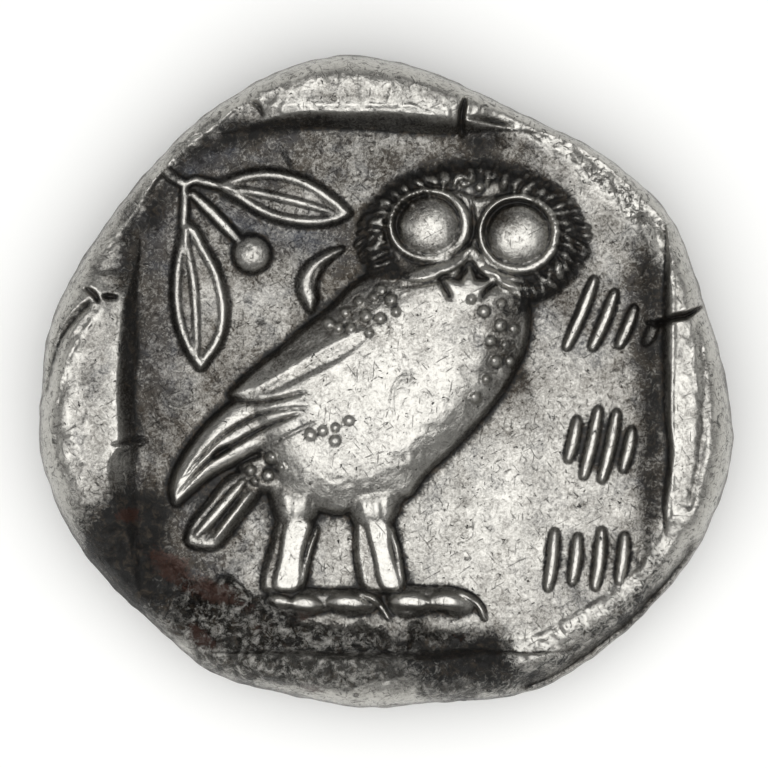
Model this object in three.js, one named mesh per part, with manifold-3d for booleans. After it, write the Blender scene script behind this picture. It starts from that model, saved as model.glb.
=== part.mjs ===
// A silver tetradrachm of the owl type, lying with its owl side up: one struck solid in millimetres, +Z up,
// with the origin on the table under the middle of the coin. +Y is the top of the owl side, +X its right.
import * as THREE from "three";
import { mergeVertices } from "three/addons/utils/BufferGeometryUtils.js";
import Module from "manifold-3d";

const wasm = await Module();
wasm.setup();

// ---- Driving dimensions ----
// The flan's outline, as [degrees, radius], read anticlockwise from +X.
const OUTLINE = [
  [0, 12.3], [15, 11.83], [30, 11.88], [45, 11.39], [62, 10.87], [75, 11.06], [88, 11.58],
  [100, 11.95], [120, 11.73], [140, 11.53], [155, 11.77], [170, 12.33], [181, 12.5], [193, 12.8], [210, 12.58],
  [225, 12.2], [240, 12.27], [252, 11.89], [265, 11.84], [280, 11.79], [295, 12.38], [315, 12.53],
  [335, 12.8], [350, 12.74],
];
const BELLY_Z = 2.9; // height of the widest line of the edge
const UNDER_FIELD_Z = 1.35; // the field of the head side, which looks down
const FIELD_Z = 4.55; // the sunk square's floor
const RIM_RISE = 0.98; // rim's crest above that floor, on the square's four sides
const CORNER_RISE = 0.06; // the same at the square's corners, where the punch ran off the flan
const RIM_ROLL = 1.55; // width of the rounded shoulder outside the crest
const CORNER_ROLL = 0.75;
const SIDES = [[357, 33], [93, 27], [182, 31], [266, 25]]; // middle and half width of each rim bulge, degrees

const SQUARE = { left: -9.05, right: 9.62, top: 8.92, bottom: -9.72 }; // foot of the walls of the sunk square
const WALL_RUN = 0.62; // how far a wall leans out
const ROOT = 0.5; // how far a raised form reaches down into the metal under it

const BODY_RISE = 1.2;
const WING_RISE = 0.92;
const HEAD_RISE = 0.78;
const EYE_RING_RISE = 1.02;
const EYE_RISE = 1.1;
const LEG_RISE = 0.72;
const TOE_RISE = 0.6;
const TAIL_RISE = 0.52;
const LEAF_RISE = 0.36;
const STROKE_RISE = 0.34;

const SILVER = { color: 0xb9b7b0, roughness: 0.38, metalness: 1 };

// ---- Shapes ----
const RAD = Math.PI / 180;

// The flan's radius in the direction given in degrees: a smooth closed curve through OUTLINE.
function flanRadius(degrees) {
  const a = ((degrees % 360) + 360) % 360;
  const n = OUTLINE.length;
  let i = OUTLINE.findLastIndex(([at]) => at <= a);
  const knot = (k) => {
    const turn = Math.floor(k / n);
    const [at, radius] = OUTLINE[k - turn * n];
    return [at + 360 * turn, radius];
  };
  const [[a0, r0], [a1, r1], [a2, r2], [a3, r3]] = [knot(i - 1), knot(i), knot(i + 1), knot(i + 2)];
  const span = a2 - a1;
  const t = (a - a1) / span;
  const slope1 = ((r2 - r0) / (a2 - a0)) * span;
  const slope2 = ((r3 - r1) / (a3 - a1)) * span;
  const t2 = t * t;
  const t3 = t2 * t;
  return (
    (2 * t3 - 3 * t2 + 1) * r1 + (t3 - 2 * t2 + t) * slope1 + (3 * t2 - 2 * t3) * r2 + (t3 - t2) * slope2
  );
}

// 1 in the middle of one of the four rim bulges, falling smoothly to 0 at the corners of the square.
function bulge(degrees) {
  const share = ([middle, half]) => {
    const off = Math.abs(((degrees - middle + 540) % 360) - 180) / half;
    return off < 1 ? (1 - off * off) ** 0.6 : 0;
  };
  return Math.max(...SIDES.map(share));
}

// A closed solid from a stack of rings, lowest first, each anticlockwise from above and with as many points.
function stack(rings) {
  const n = rings[0].length;
  const index = [];
  for (let k = 0; k + 1 < rings.length; k++)
    for (let i = 0; i < n; i++) {
      const j = (i + 1) % n;
      index.push(k * n + i, k * n + j, (k + 1) * n + j, k * n + i, (k + 1) * n + j, (k + 1) * n + i);
    }
  const cap = (first, ring, up) => {
    const flat = ring.map((p) => new THREE.Vector2(p.x, p.y));
    for (const [a, b, c] of THREE.ShapeUtils.triangulateShape(flat, [])) {
      const turn = (flat[b].x - flat[a].x) * (flat[c].y - flat[a].y) - (flat[c].x - flat[a].x) * (flat[b].y - flat[a].y);
      if (turn > 0 === up) index.push(first + a, first + b, first + c);
      else index.push(first + a, first + c, first + b);
    }
  };
  cap(0, rings[0], false);
  cap((rings.length - 1) * n, rings.at(-1), true);
  const geometry = new THREE.BufferGeometry().setFromPoints(rings.flat());
  return geometry.setIndex(index);
}

// A smooth closed outline through hand-set points, as count points anticlockwise.
function outlineThrough(points, count) {
  const curve = new THREE.CatmullRomCurve3(points.map(([x, y]) => new THREE.Vector3(x, y, 0)), true, "centripetal");
  const ring = curve.getSpacedPoints(count).slice(0, count);
  return THREE.ShapeUtils.area(ring) < 0 ? ring.reverse() : ring;
}

// A raised form with rounded sides and a worn, flat top. steps holds [share of the way to the spine, share of rise].
const WORN_DOME = [[0, 0], [0.1, 0.5], [0.3, 0.84], [0.7, 1]];
const LOW_PLATE = [[0, 0], [0.15, 0.7], [0.5, 1]];
function pillow(points, count, rise, spine, steps = WORN_DOME, foot = FIELD_Z) {
  const outline = outlineThrough(points, count);
  const line = spine.slice(1).map(([x, y], i) => new THREE.Line3(
    new THREE.Vector3(...spine[i], 0), new THREE.Vector3(x, y, 0)));
  const nearest = (p) => line
    .map((s) => s.closestPointToPoint(p, true, new THREE.Vector3()))
    .reduce((a, b) => (a.distanceTo(p) < b.distanceTo(p) ? a : b));
  const rings = steps.map(([inward, up]) =>
    outline.map((p) => p.clone().lerp(nearest(p), inward).setZ(foot + up * rise)));
  const root = outline.map((p) => p.clone().setZ(foot - ROOT));
  return stack([root, ...rings]);
}

// A raised line with tapered ends, along [x, y, height of its foot above the field] points. A short one, of one or
// two pieces, has a back like a roof, and a longer one a round back.
const ROUND_BACK = [[-1, 0], [-0.72, 0.7], [0, 1], [0.72, 0.7], [1, 0]];
const ROOF_BACK = [[-1, 0], [0, 1], [1, 0]];
function ridge(path, width, rise, { pieces = 8, taper = 0.5, foot = FIELD_Z } = {}) {
  const curve = new THREE.CatmullRomCurve3(path.map(([x, y, z = 0]) => new THREE.Vector3(x, y, foot + z)), false, "centripetal");
  const section = pieces > 2 ? ROUND_BACK : ROOF_BACK;
  const slices = [];
  for (let k = 0; k <= pieces; k++) {
    const t = k / pieces;
    const at = curve.getPoint(t);
    const along = curve.getTangent(t).setZ(0).normalize();
    const across = new THREE.Vector3(along.y, -along.x, 0);
    const swell = taper + (1 - taper) * Math.sin(Math.PI * t) ** 0.6;
    const ring = section.map(([u, v]) =>
      at.clone().addScaledVector(across, (u * width * swell) / 2).setZ(at.z + v * rise * swell));
    const low = at.z - ROOT;
    ring.push(ring.at(-1).clone().setZ(low), ring[0].clone().setZ(low));
    slices.push(ring);
  }
  return tube(slices);
}

// A closed solid through slices that follow a line, each slice going round it the same way.
function tube(slices) {
  const n = slices[0].length;
  const index = [];
  for (let k = 0; k + 1 < slices.length; k++)
    for (let i = 0; i < n; i++) {
      const j = (i + 1) % n;
      index.push(k * n + i, k * n + j, (k + 1) * n + j, k * n + i, (k + 1) * n + j, (k + 1) * n + i);
    }
  const last = (slices.length - 1) * n;
  for (let i = 1; i + 1 < n; i++) {
    index.push(0, i + 1, i);
    index.push(last, last + i, last + i + 1);
  }
  return new THREE.BufferGeometry().setFromPoints(slices.flat()).setIndex(index);
}

// A round button: a flattened ball whose middle lies lift above its foot, stretched along Y by the number long.
function button(x, y, radius, rise, { lift = 0, sides = 10, long = 1, foot = FIELD_Z } = {}) {
  return new THREE.SphereGeometry(1, sides, Math.max(4, sides / 2))
    .rotateX(Math.PI / 2)
    .scale(radius, radius * long, rise)
    .translate(x, y, foot + lift);
}

// A raised oval ring of the given width, whose middle line lies lift above the field.
function ovalRing(x, y, rx, ry, width, rise, lift) {
  const tubeRadius = width / (rx + ry);
  return new THREE.TorusGeometry(1, tubeRadius, 5, 20)
    .scale(rx, ry, rise / tubeRadius)
    .translate(x, y, FIELD_Z + lift);
}

function solid(geometry) {
  const bare = geometry.clone();
  bare.deleteAttribute("normal");
  bare.deleteAttribute("uv");
  const merged = mergeVertices(bare, 1e-4);
  const made = new wasm.Manifold(
    new wasm.Mesh({
      numProp: 3,
      vertProperties: new Float32Array(merged.attributes.position.array),
      triVerts: new Uint32Array(merged.index.array),
    }),
  );
  if (made.volume() <= 0) throw new Error("a shape is inside out");
  return made;
}

// ---- The flan ----
function flan() {
  const sides = 66;
  const ringOf = (inset, height) => {
    const ring = [];
    for (let i = 0; i < sides; i++) {
      const degrees = (360 * i) / sides;
      const radius = flanRadius(degrees) - inset(degrees);
      ring.push(new THREE.Vector3(
        radius * Math.cos(degrees * RAD), radius * Math.sin(degrees * RAD), height(degrees)));
    }
    return ring;
  };
  // Quarter-round shoulders: from the belly down to the head side's field, and up to the rim's crest.
  const rings = [];
  rings.push(ringOf(() => 5.5, () => UNDER_FIELD_Z));
  rings.push(ringOf(() => 3, () => UNDER_FIELD_Z + 0.1));
  for (const turn of [0, 25, 52, 80]) {
    const inset = 1.5 * (1 - Math.sin(turn * RAD));
    const z = BELLY_Z - (BELLY_Z - UNDER_FIELD_Z - 0.25) * Math.cos(turn * RAD);
    rings.push(ringOf(() => inset, () => z));
  }
  const roll = (degrees) => CORNER_ROLL + (RIM_ROLL - CORNER_ROLL) * bulge(degrees);
  const crest = (degrees) => FIELD_Z + CORNER_RISE + (RIM_RISE - CORNER_RISE) * bulge(degrees);
  for (const turn of [22, 46, 68, 90])
    rings.push(ringOf(
      (degrees) => roll(degrees) * (1 - Math.cos(turn * RAD)),
      (degrees) => BELLY_Z + (crest(degrees) - BELLY_Z) * Math.sin(turn * RAD)));
  rings.push(ringOf((degrees) => roll(degrees) + 2.2, (degrees) => crest(degrees) - 0.2 * bulge(degrees)));
  return stack(rings);
}

// The square punch, whose walls lean out as they rise; it overruns the flan at the corners.
function squarePunch() {
  const { left, right, top, bottom } = SQUARE;
  const ring = (lean, z) => [
    [left - lean, bottom - lean], [right + lean, bottom - lean], [right + lean, top + lean], [left - lean, top + lean],
  ].map(([x, y]) => new THREE.Vector3(x, y, z));
  const tall = 3;
  return stack([ring(0, FIELD_Z), ring(WALL_RUN, FIELD_Z + 1), ring(WALL_RUN * 1.2, FIELD_Z + tall)]);
}

// A crack through the rim: a narrow crooked wedge, open at the top.
function crack(path, width, depth) {
  const low = FIELD_Z + RIM_RISE - depth;
  const slices = path.map(([x, y, share = 1], i) => {
    const [px, py] = path[Math.max(0, i - 1)];
    const [qx, qy] = path[Math.min(path.length - 1, i + 1)];
    const across = new THREE.Vector3(qy - py, px - qx, 0).normalize().multiplyScalar((width * share) / 2);
    const at = new THREE.Vector3(x, y, 0);
    const high = FIELD_Z + RIM_RISE + 1;
    return [
      at.clone().addScaledVector(across, -0.3).setZ(low),
      at.clone().sub(across).setZ(high),
      at.clone().add(across).setZ(high),
      at.clone().addScaledVector(across, 0.3).setZ(low),
    ];
  });
  return tube(slices);
}

const CRACKS = [
  crack([[9.7, 2.1, 0.5], [10.3, 2.25], [10.9, 2.4], [11.5, 2.75, 0.3]], 0.3, 1.1),
  crack([[2.72, 9.2, 0.6], [2.75, 9.8], [2.85, 10.25, 0.4]], 0.26, 0.8),
  crack([[-10.75, 3.75, 0.4], [-10.55, 3.3], [-10.15, 2.95], [-9.7, 3.1, 0.5]], 0.24, 0.6),
];

// ---- The owl ----
const EYES = [
  { x: 1.54, y: 5.64, rx: 1.33, ry: 1.2 },
  { x: 4.75, y: 5.3, rx: 1.34, ry: 1.28 },
];

function owlBody() {
  const breast = [[5.2, 3.2], [5.15, 2], [4.75, 0.5], [3.6, -1.35], [2.1, -2.95], [0.75, -4.15]];
  const belly = [[-0.6, -4.55], [-2.2, -4.8], [-3.6, -4.7], [-4.3, -3.6], [-4.9, -2.6]];
  const back = [[-5.3, -1.1], [-4.6, 0.35], [-2.6, 2], [-0.9, 3.5], [1.2, 4.6], [3.8, 4.6]];
  return pillow([...breast, ...belly, ...back], 32, BODY_RISE, [[2.2, 2.6], [1.2, 0.6], [-1.6, -1.9]]);
}

function wing() {
  const upper = [[-0.9, 1.5], [-2.4, 1.95], [-4, 0.8], [-5.5, -0.35], [-6.7, -1.6], [-7.6, -3]];
  const lower = [[-7.7, -4.3], [-6.4, -3.3], [-4.6, -2.5], [-3, -1.75], [-1.8, -1]];
  return pillow([...upper, ...lower], 24, WING_RISE, [[-2, 0], [-4.2, -0.9], [-7, -3]], LOW_PLATE);
}

// The wing's long feathers: each is a raised line that bends down to the wing's tip.
function wingFeathers() {
  const rise = 0.2;
  const quills = [
    [[-1.2, 1.85, 0.86], [-2.9, 1.05, 0.86], [-4.2, 0.08, 0.7], [-5.4, -0.55, 0.42]],
    [[-4.1, -0.8, 0.9], [-5.5, -1.35, 0.76], [-6.6, -2.15, 0.6], [-7.3, -3.1, 0.35]],
    [[-3.6, -1.25, 0.92], [-5.2, -1.9, 0.82], [-6.5, -2.65, 0.66], [-7.55, -3.9, 0.35]],
    [[-3, -1.7, 0.84], [-4.4, -2.25, 0.74], [-5.7, -2.85, 0.66], [-7.1, -3.95, 0.36]],
  ];
  return quills.map((path) => ridge(path, 0.42, rise, { pieces: 6 }));
}

function tail() {
  const outline = [[-4.4, -2.5], [-3.6, -3.3], [-4.6, -4.2], [-5.9, -5.8], [-7.25, -5.75], [-6.3, -4.1], [-5.4, -3]];
  const feathers = [0, 1].map((k) => ridge(
    [[-5.25 + 0.5 * k, -3.6 - 0.3 * k, 0.42], [-5.95 + 0.5 * k, -4.6 - 0.2 * k, 0.46], [-6.8 + 0.55 * k, -5.5, 0.38]],
    0.4, 0.16, { pieces: 4 }));
  return [pillow(outline, 16, TAIL_RISE, [[-4.8, -3.4], [-6.3, -5.2]], LOW_PLATE), ...feathers];
}

// Rows of small round feathers on the neck, breast, wing and rump.
function pellets() {
  const at = [
    [0.15, 2.95, 1.06], [-0.25, 2.3, 1.02], [-0.65, 1.75, 1.0], [-0.5, 3.05, 0.84], [-1, 2.5, 0.84],
    [-1.4, 1.95, 0.84], [-1.5, 2.6, 0.66], [-2.1, 2.1, 0.62],
    [3.55, 2.55, 1.12], [4.15, 2.75, 0.92], [4.1, 2, 1.0], [4.3, 1.3, 0.94], [3.95, 0.7, 0.98], [3.6, 0.1, 0.98],
    [-2.8, -1.9, 0.98], [-2.35, -1.75, 1.06], [-1.9, -1.55, 1.12], [-1.85, -2.1, 1.1],
    [-4.1, -2.75, 0.86], [-4.35, -3.35, 0.45], [-4.95, -3.15, 0.5],
  ];
  return at.map(([x, y, z]) => button(x, y, 0.19, 0.17, { lift: z, sides: 6 }));
}

function owlHead() {
  const fringe = [
    [3.3, 7.9], [4.9, 7.5], [6.1, 6.8], [6.85, 5.8], [7.1, 4.7], [6.85, 3.6], [6, 2.9], [4.6, 3.1], [3, 2.9],
    [1.6, 3.45], [0, 3.55], [-0.9, 4.1], [-1.15, 5.1], [-0.8, 6.2], [0, 7.05], [1.4, 7.65],
  ];
  const face = pillow(fringe, 28, HEAD_RISE, [[1.5, 5.6], [4.7, 5.3]], [[0, 0], [0.12, 0.5], [0.26, 0.78], [0.42, 1]]);
  const eyes = EYES.flatMap(({ x, y, rx, ry }) => [
    ovalRing(x, y, rx, ry, 0.36, EYE_RING_RISE - HEAD_RISE, HEAD_RISE),
    button(x + 0.05, y - 0.08, 1.02, EYE_RISE - 0.5, { lift: 0.5, sides: 14 }),
  ]);
  const brows = [
    ridge([[3, 4.75, 0.7], [2.3, 4.25, 0.78], [1.5, 3.88, 0.78], [0.45, 3.65, 0.5]], 0.46, 0.26, { pieces: 6 }),
    ridge([[3.05, 4.75, 0.7], [3.5, 4.2, 0.8], [4, 3.75, 0.82], [5, 3.35, 0.6]], 0.5, 0.26, { pieces: 6 }),
  ];
  const beak = [
    button(3, 3.6, 0.36, 0.46, { lift: 0.85, long: 1.75 }),
    ridge([[2.12, 3.6, 0.86], [2.55, 3.1, 0.98]], 0.34, 0.26, { pieces: 2 }),
    ridge([[3.75, 3.62, 0.86], [3.3, 3.15, 0.98]], 0.34, 0.26, { pieces: 2 }),
  ];
  return [face, ...eyes, ...brows, ...beak];
}

// Short feathers that stand round the face like rays, longer at the cheeks.
function headFeathers() {
  const count = 23;
  const made = [];
  for (let k = 0; k < count; k++) {
    const turn = (-38 + (256 * k) / (count - 1)) * RAD; // from the right cheek, over the top, to the left cheek
    const out = new THREE.Vector2(Math.cos(turn), Math.sin(turn));
    const reach = 0.62 + 0.25 * Math.abs(out.x);
    const foot = new THREE.Vector2(2.98 + 3.42 * out.x, 5.3 + 2.02 * out.y);
    const tip = foot.clone().addScaledVector(out, reach);
    made.push(ridge([[foot.x, foot.y, 0.56], [tip.x, tip.y, 0.12]], 0.27, 0.18, { pieces: 2, taper: 0.35 }));
  }
  return made;
}

function legsAndFeet() {
  const thighs = [
    pillow([[-2.7, -3.9], [-2.75, -4.9], [-3.1, -5.5], [-3.75, -5.4], [-4.05, -4.5], [-3.8, -3.6]], 12, LEG_RISE + 0.1,
      [[-3.4, -4.2], [-3.4, -5]], LOW_PLATE),
    pillow([[0.75, -3.8], [0.3, -4.8], [-0.1, -5.5], [-0.9, -5.4], [-1.4, -4.7], [-1.1, -3.8]], 12, LEG_RISE + 0.1,
      [[-0.3, -4.2], [-0.5, -5]], LOW_PLATE),
  ];
  const shins = [
    ridge([[-3.4, -5, 0], [-3.6, -5.9, 0], [-3.85, -6.8, 0], [-3.9, -7.7, 0]], 1.15, LEG_RISE, { pieces: 5, taper: 0.85 }),
    ridge([[-0.5, -5, 0], [-0.45, -6, 0], [-0.28, -6.9, 0], [0.1, -7.8, 0]], 1.1, LEG_RISE, { pieces: 5, taper: 0.85 }),
  ];
  const toes = [
    ridge([[0, -7.7], [0.7, -8], [1.2, -7.9]], 0.8, TOE_RISE, { pieces: 5, taper: 0.6 }),
    ridge([[1.3, -7.85], [2.1, -8.02], [2.8, -7.95]], 0.78, TOE_RISE, { pieces: 5, taper: 0.5 }),
    ridge([[2.6, -7.7], [3.15, -7.8], [3.5, -8.45]], 0.34, 0.34, { pieces: 4, taper: 0.4 }),
    ridge([[-4, -7.8], [-3.1, -8], [-2.6, -8]], 0.72, TOE_RISE, { pieces: 5, taper: 0.6 }),
    ridge([[-2.4, -7.85], [-1.6, -8.05], [-0.8, -7.95]], 0.74, TOE_RISE, { pieces: 5, taper: 0.5 }),
    ridge([[-0.8, -7.75], [-0.3, -8], [0.15, -8.65]], 0.34, 0.34, { pieces: 4, taper: 0.4 }),
  ];
  return [...thighs, ...shins, ...toes];
}

// ---- Olive spray, crescent and the strokes that stand for the inscription ----
function oliveSpray() {
  const leaves = [
    {
      outline: [[-6.1, 7.1], [-5, 7.6], [-3.7, 7.58], [-2.4, 7.05], [-1.35, 6.1], [-2.2, 5.6], [-3.6, 5.65], [-5.1, 6.4]],
      rib: [[-7.3, 7.4], [-6.1, 7.1], [-4.4, 6.78], [-1.8, 6.05]],
    },
    {
      outline: [[-7.3, 6], [-7.65, 4.6], [-7.78, 3], [-7.45, 1.5], [-6.7, 0.35], [-5.95, 1.4], [-5.75, 2.8], [-6.3, 4.6]],
      rib: [[-7.35, 7.1], [-7.35, 5.6], [-6.95, 3.8], [-6.8, 0.9]],
    },
  ];
  const made = leaves.flatMap(({ outline, rib }) => {
    const [, ...inner] = rib;
    return [
      pillow(outline, 18, LEAF_RISE, inner, LOW_PLATE),
      ridge(rib.map(([x, y], k) => [x, y, k > 1 ? LEAF_RISE * 0.8 : 0.05]), 0.34, 0.22, { pieces: 6, taper: 0.6 }),
    ];
  });
  made.push(ridge([[-8, 7.6], [-7.6, 7.3], [-7.2, 7.05]], 0.42, 0.3, { pieces: 3 }));
  made.push(ridge([[-7.1, 6.8], [-6.2, 5.95], [-5.2, 4.95]], 0.42, 0.34, { pieces: 4, taper: 0.8 }));
  made.push(button(-4.85, 4.6, 0.68, 0.62, { sides: 10 }));
  return made;
}

function crescent() {
  return ridge([[-1.55, 4.78], [-2.35, 4.45], [-2.85, 3.6], [-2.7, 2.45]], 0.72, 0.42, { pieces: 8, taper: 0.2 });
}

// Each group is a row of parallel strokes: where the row starts, the step between strokes, and their half lengths.
const STROKE_GROUPS = [
  { start: [7, 2.45], step: [0.84, -0.24], lean: [0.38, 0.92], halves: [1.3, 1.05, 0.7, 0.35] },
  { start: [6.72, -2.1], step: [0.66, -0.12], lean: [0.22, 0.98], halves: [0.7, 1.2, 1.2, 0.7] },
  { start: [5.95, -6.45], step: [0.85, 0.02], lean: [0.12, 0.99], halves: [1, 0.8, 1, 0.8] },
];
function strokes() {
  return STROKE_GROUPS.flatMap(({ start, step, lean, halves }) => halves.map((half, k) => {
    const [x, y] = [start[0] + k * step[0], start[1] + k * step[1]];
    return ridge([[x - lean[0] * half, y - lean[1] * half], [x + lean[0] * half, y + lean[1] * half]],
      0.42, STROKE_RISE, { pieces: 2, taper: 0.7 });
  }));
}

// ---- The head side, which the coin lies on ----
// Its forms are laid out as seen from below, head facing right, and turned half round the Y axis into place.
const CHEEK_RISE = 1.8; // as struck; wear has since cut all above UNDER_FIELD_Z off flat
const HELMET_RISE = 1.9;
const NECK_RISE = 0.85;
const DOME = [[0, 0], [0.1, 0.42], [0.32, 0.72], [0.85, 1]];

function headSide() {
  const face = [
    [4.6, 3.3], [4.9, 1.9], [6.25, -0.45], [5.5, -1.05], [5.8, -1.65], [5.35, -2], [5.65, -2.4], [5.25, -2.9],
    [5.45, -3.8], [4.4, -4.6], [1.6, -4.9], [-2.2, -4.7], [-4.6, -3.2], [-5, 0], [-2, 2.6], [1.6, 3.9],
  ];
  const neck = [[2.9, -4], [2.2, -6], [3, -8], [-0.6, -8.9], [-4, -8.1], [-3.4, -5.8], [-3.8, -3.6], [0, -3]];
  const laid = [
    pillow(face, 38, CHEEK_RISE, [[1.8, -1.2], [0, -0.4]], DOME, 0),
    pillow(neck, 22, NECK_RISE, [[-0.4, -4.4], [-0.5, -7.2]], DOME, 0),
    helmet(),
    ...helmetCrest(),
    ...faceForms(),
  ];
  return laid.map((geometry) => geometry.rotateY(Math.PI).translate(0, 0, UNDER_FIELD_Z));
}

function helmet() {
  const bowl = [
    [5.1, 2.6], [4.3, 4.9], [1.8, 6.7], [-1.6, 6.9], [-4.9, 5.3], [-6.8, 2.2], [-7, -1.4], [-8, -3.9],
    [-6, -3.9], [-4.7, -1.4], [-3, 0.9], [-0.4, 1.9], [2.6, 2.1],
  ];
  return pillow(bowl, 30, HELMET_RISE, [[1.8, 4], [-1.8, 3.8], [-4.4, 1.8], [-5.8, -1.2]], DOME, 0);
}

// A row of count points on an arc about the helmet, in degrees from straight ahead of the face.
function helmetArc(radius, from, to, count) {
  const [x, y] = [-0.9, -0.2];
  return Array.from({ length: count }, (_, k) => {
    const turn = (from + ((to - from) * k) / (count - 1)) * RAD;
    return [x + radius * Math.cos(turn), y + radius * Math.sin(turn)];
  });
}

// The crest: a raised band over the helmet, and a comb of short strokes outside it.
function helmetCrest() {
  const band = ridge(helmetArc(7.9, 38, 188, 7), 0.6, 0.55, { pieces: 11, foot: 0 });
  const inner = helmetArc(8.4, 40, 184, 14);
  const outer = helmetArc(9.7, 42, 182, 14);
  const comb = inner.map((from, k) => ridge([from, outer[k]], 0.4, 0.36, { pieces: 2, foot: 0 }));
  return [band, ...comb];
}

// Lids and eye, locks under the helmet's edge, an ear-ring and a string of beads.
function faceForms() {
  const eye = [
    ridge([[3, 0.95, 0.95], [3.9, 1.25, 0.8], [4.75, 0.85, 0.55]], 0.32, 0.36, { pieces: 4, foot: 0 }),
    ridge([[3, 0.85, 0.95], [3.9, 0.35, 0.85], [4.7, 0.7, 0.6]], 0.3, 0.3, { pieces: 4, foot: 0 }),
    button(3.95, 0.8, 0.34, 0.3, { lift: 0.88, sides: 6, foot: 0 }),
  ];
  const lips = ridge([[5.5, -2, 0.2], [4.9, -2.02, 0.62], [4.4, -2.15, 0.85]], 0.5, 0.22, { pieces: 3, foot: 0 });
  const locks = Array.from({ length: 6 }, (_, k) => {
    const [x, y] = [4.2 - 1.25 * k, 2.25 - 0.14 * k * k];
    return ridge([[x + 0.5, y - 0.1, 0.9], [x, y - 0.65, 1], [x - 0.6, y - 0.3, 0.95]], 0.45, 0.34, { pieces: 2, foot: 0 });
  });
  const earring = button(-1.9, -2.4, 0.6, 0.5, { lift: 0.85, sides: 8, foot: 0 });
  const beads = Array.from({ length: 7 }, (_, k) => {
    const t = k / 6;
    return button(2.1 - 5.4 * t, -6.5 - 0.9 * Math.sin(Math.PI * t), 0.34, 0.3,
      { lift: 0.42 + 0.4 * Math.sin(Math.PI * t), sides: 6, foot: 0 });
  });
  return [...eye, lips, ...locks, earring, ...beads];
}

// ---- The coin ----
function struckCoin() {
  let coin = solid(flan()).subtract(solid(squarePunch()));
  const raised = [
    owlBody(), wing(), ...wingFeathers(), ...tail(), ...pellets(), ...owlHead(), ...headFeathers(), ...legsAndFeet(),
    ...oliveSpray(), crescent(), ...strokes(), ...headSide(),
  ];
  for (const form of raised) coin = coin.add(solid(form));
  for (const cut of CRACKS) coin = coin.subtract(solid(cut));
  // Wear has rubbed the head side flat where the coin lies, so everything under the table's plane goes.
  const worn = new THREE.BoxGeometry(40, 40, 10).translate(0, 0, -5);
  return coin.subtract(solid(worn));
}

function geometryOf(made) {
  const mesh = made.getMesh();
  return new THREE.BufferGeometry()
    .setAttribute("position", new THREE.BufferAttribute(new Float32Array(mesh.vertProperties), 3))
    .setIndex(new THREE.BufferAttribute(new Uint32Array(mesh.triVerts), 1));
}

const coin = new THREE.Mesh(geometryOf(struckCoin()), new THREE.MeshStandardMaterial(SILVER));
coin.name = "coin";

const group = new THREE.Group();
group.add(coin);
export default group;
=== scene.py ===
"""An ancient silver tetradrachm of the owl type, lying with its owl side up on a pale studio floor."""
import math

import bpy
import numpy as np
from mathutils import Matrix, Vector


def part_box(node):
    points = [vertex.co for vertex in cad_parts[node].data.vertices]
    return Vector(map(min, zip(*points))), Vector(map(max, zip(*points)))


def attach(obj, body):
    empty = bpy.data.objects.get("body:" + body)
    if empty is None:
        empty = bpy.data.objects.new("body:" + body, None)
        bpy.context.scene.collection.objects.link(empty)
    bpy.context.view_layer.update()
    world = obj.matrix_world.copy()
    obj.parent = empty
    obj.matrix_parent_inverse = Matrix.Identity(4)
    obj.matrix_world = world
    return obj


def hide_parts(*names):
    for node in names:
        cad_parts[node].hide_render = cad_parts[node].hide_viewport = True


bl_info = {
    "name": "Owl Tetradrachm",
    "version": (1, 0, 0),
    "blender": (4, 5, 0),
    "location": "3D View > Sidebar > Coin",
    "description": "Strikes a worn silver coin with an owl in a sunk square, and stages it for the studio",
    "category": "Add Mesh",
}

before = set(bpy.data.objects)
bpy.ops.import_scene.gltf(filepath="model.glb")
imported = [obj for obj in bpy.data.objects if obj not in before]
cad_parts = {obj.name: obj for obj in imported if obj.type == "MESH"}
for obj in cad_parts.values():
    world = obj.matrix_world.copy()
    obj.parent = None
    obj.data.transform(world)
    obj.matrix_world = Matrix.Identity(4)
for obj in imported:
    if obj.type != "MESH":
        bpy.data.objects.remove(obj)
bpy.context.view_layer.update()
COIN_LOW, COIN_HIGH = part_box("coin")
MM = 0.001

# The flan's edge in millimetres, as [degrees, radius], read anticlockwise from +X, the right of the owl side.
OUTLINE = [
    (0, 12.3), (15, 11.83), (30, 11.88), (45, 11.39), (62, 10.87), (75, 11.06), (88, 11.58),
    (100, 11.95), (120, 11.73), (140, 11.53), (155, 11.77), (170, 12.33), (181, 12.5), (193, 12.8), (210, 12.58),
    (225, 12.2), (240, 12.27), (252, 11.89), (265, 11.84), (280, 11.79), (295, 12.38), (315, 12.53),
    (335, 12.8), (350, 12.74),
]
# Width of the rounded shoulder outside the rim's crest, and the crest's height above the field.
ROLL = [
    (0, 1.45), (20, 0.95), (33, 0.62), (50, 0.45), (66, 0.5), (78, 0.85), (95, 1.05), (112, 0.8), (124, 0.55),
    (145, 0.6), (160, 1.1), (172, 1.5), (186, 1.6), (200, 1.5), (215, 1.3), (240, 1.3), (268, 1.5), (290, 1.45),
    (306, 1.15), (330, 1.05), (345, 1.4),
]
RIM_RISE = [
    (0, 0.98), (18, 0.92), (30, 0.45), (36, 0.12), (50, 0.08), (64, 0.12), (76, 0.75), (93, 0.98), (110, 0.85),
    (122, 0.16), (140, 0.1), (152, 0.2), (166, 0.85), (182, 0.98), (200, 0.92), (214, 0.5), (228, 0.2),
    (242, 0.3), (256, 0.8), (270, 0.95), (284, 0.8), (296, 0.25), (315, 0.1), (328, 0.2), (340, 0.85),
]


# ---- Sizes and colours ----
def linear(code):
    """The linear colour, with alpha, of an sRGB hex code."""
    parts = [int(code[k:k + 2], 16) / 255 for k in (1, 3, 5)]
    return tuple(c / 12.92 if c <= 0.04045 else ((c + 0.055) / 1.055) ** 2.4 for c in parts) + (1.0,)


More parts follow.
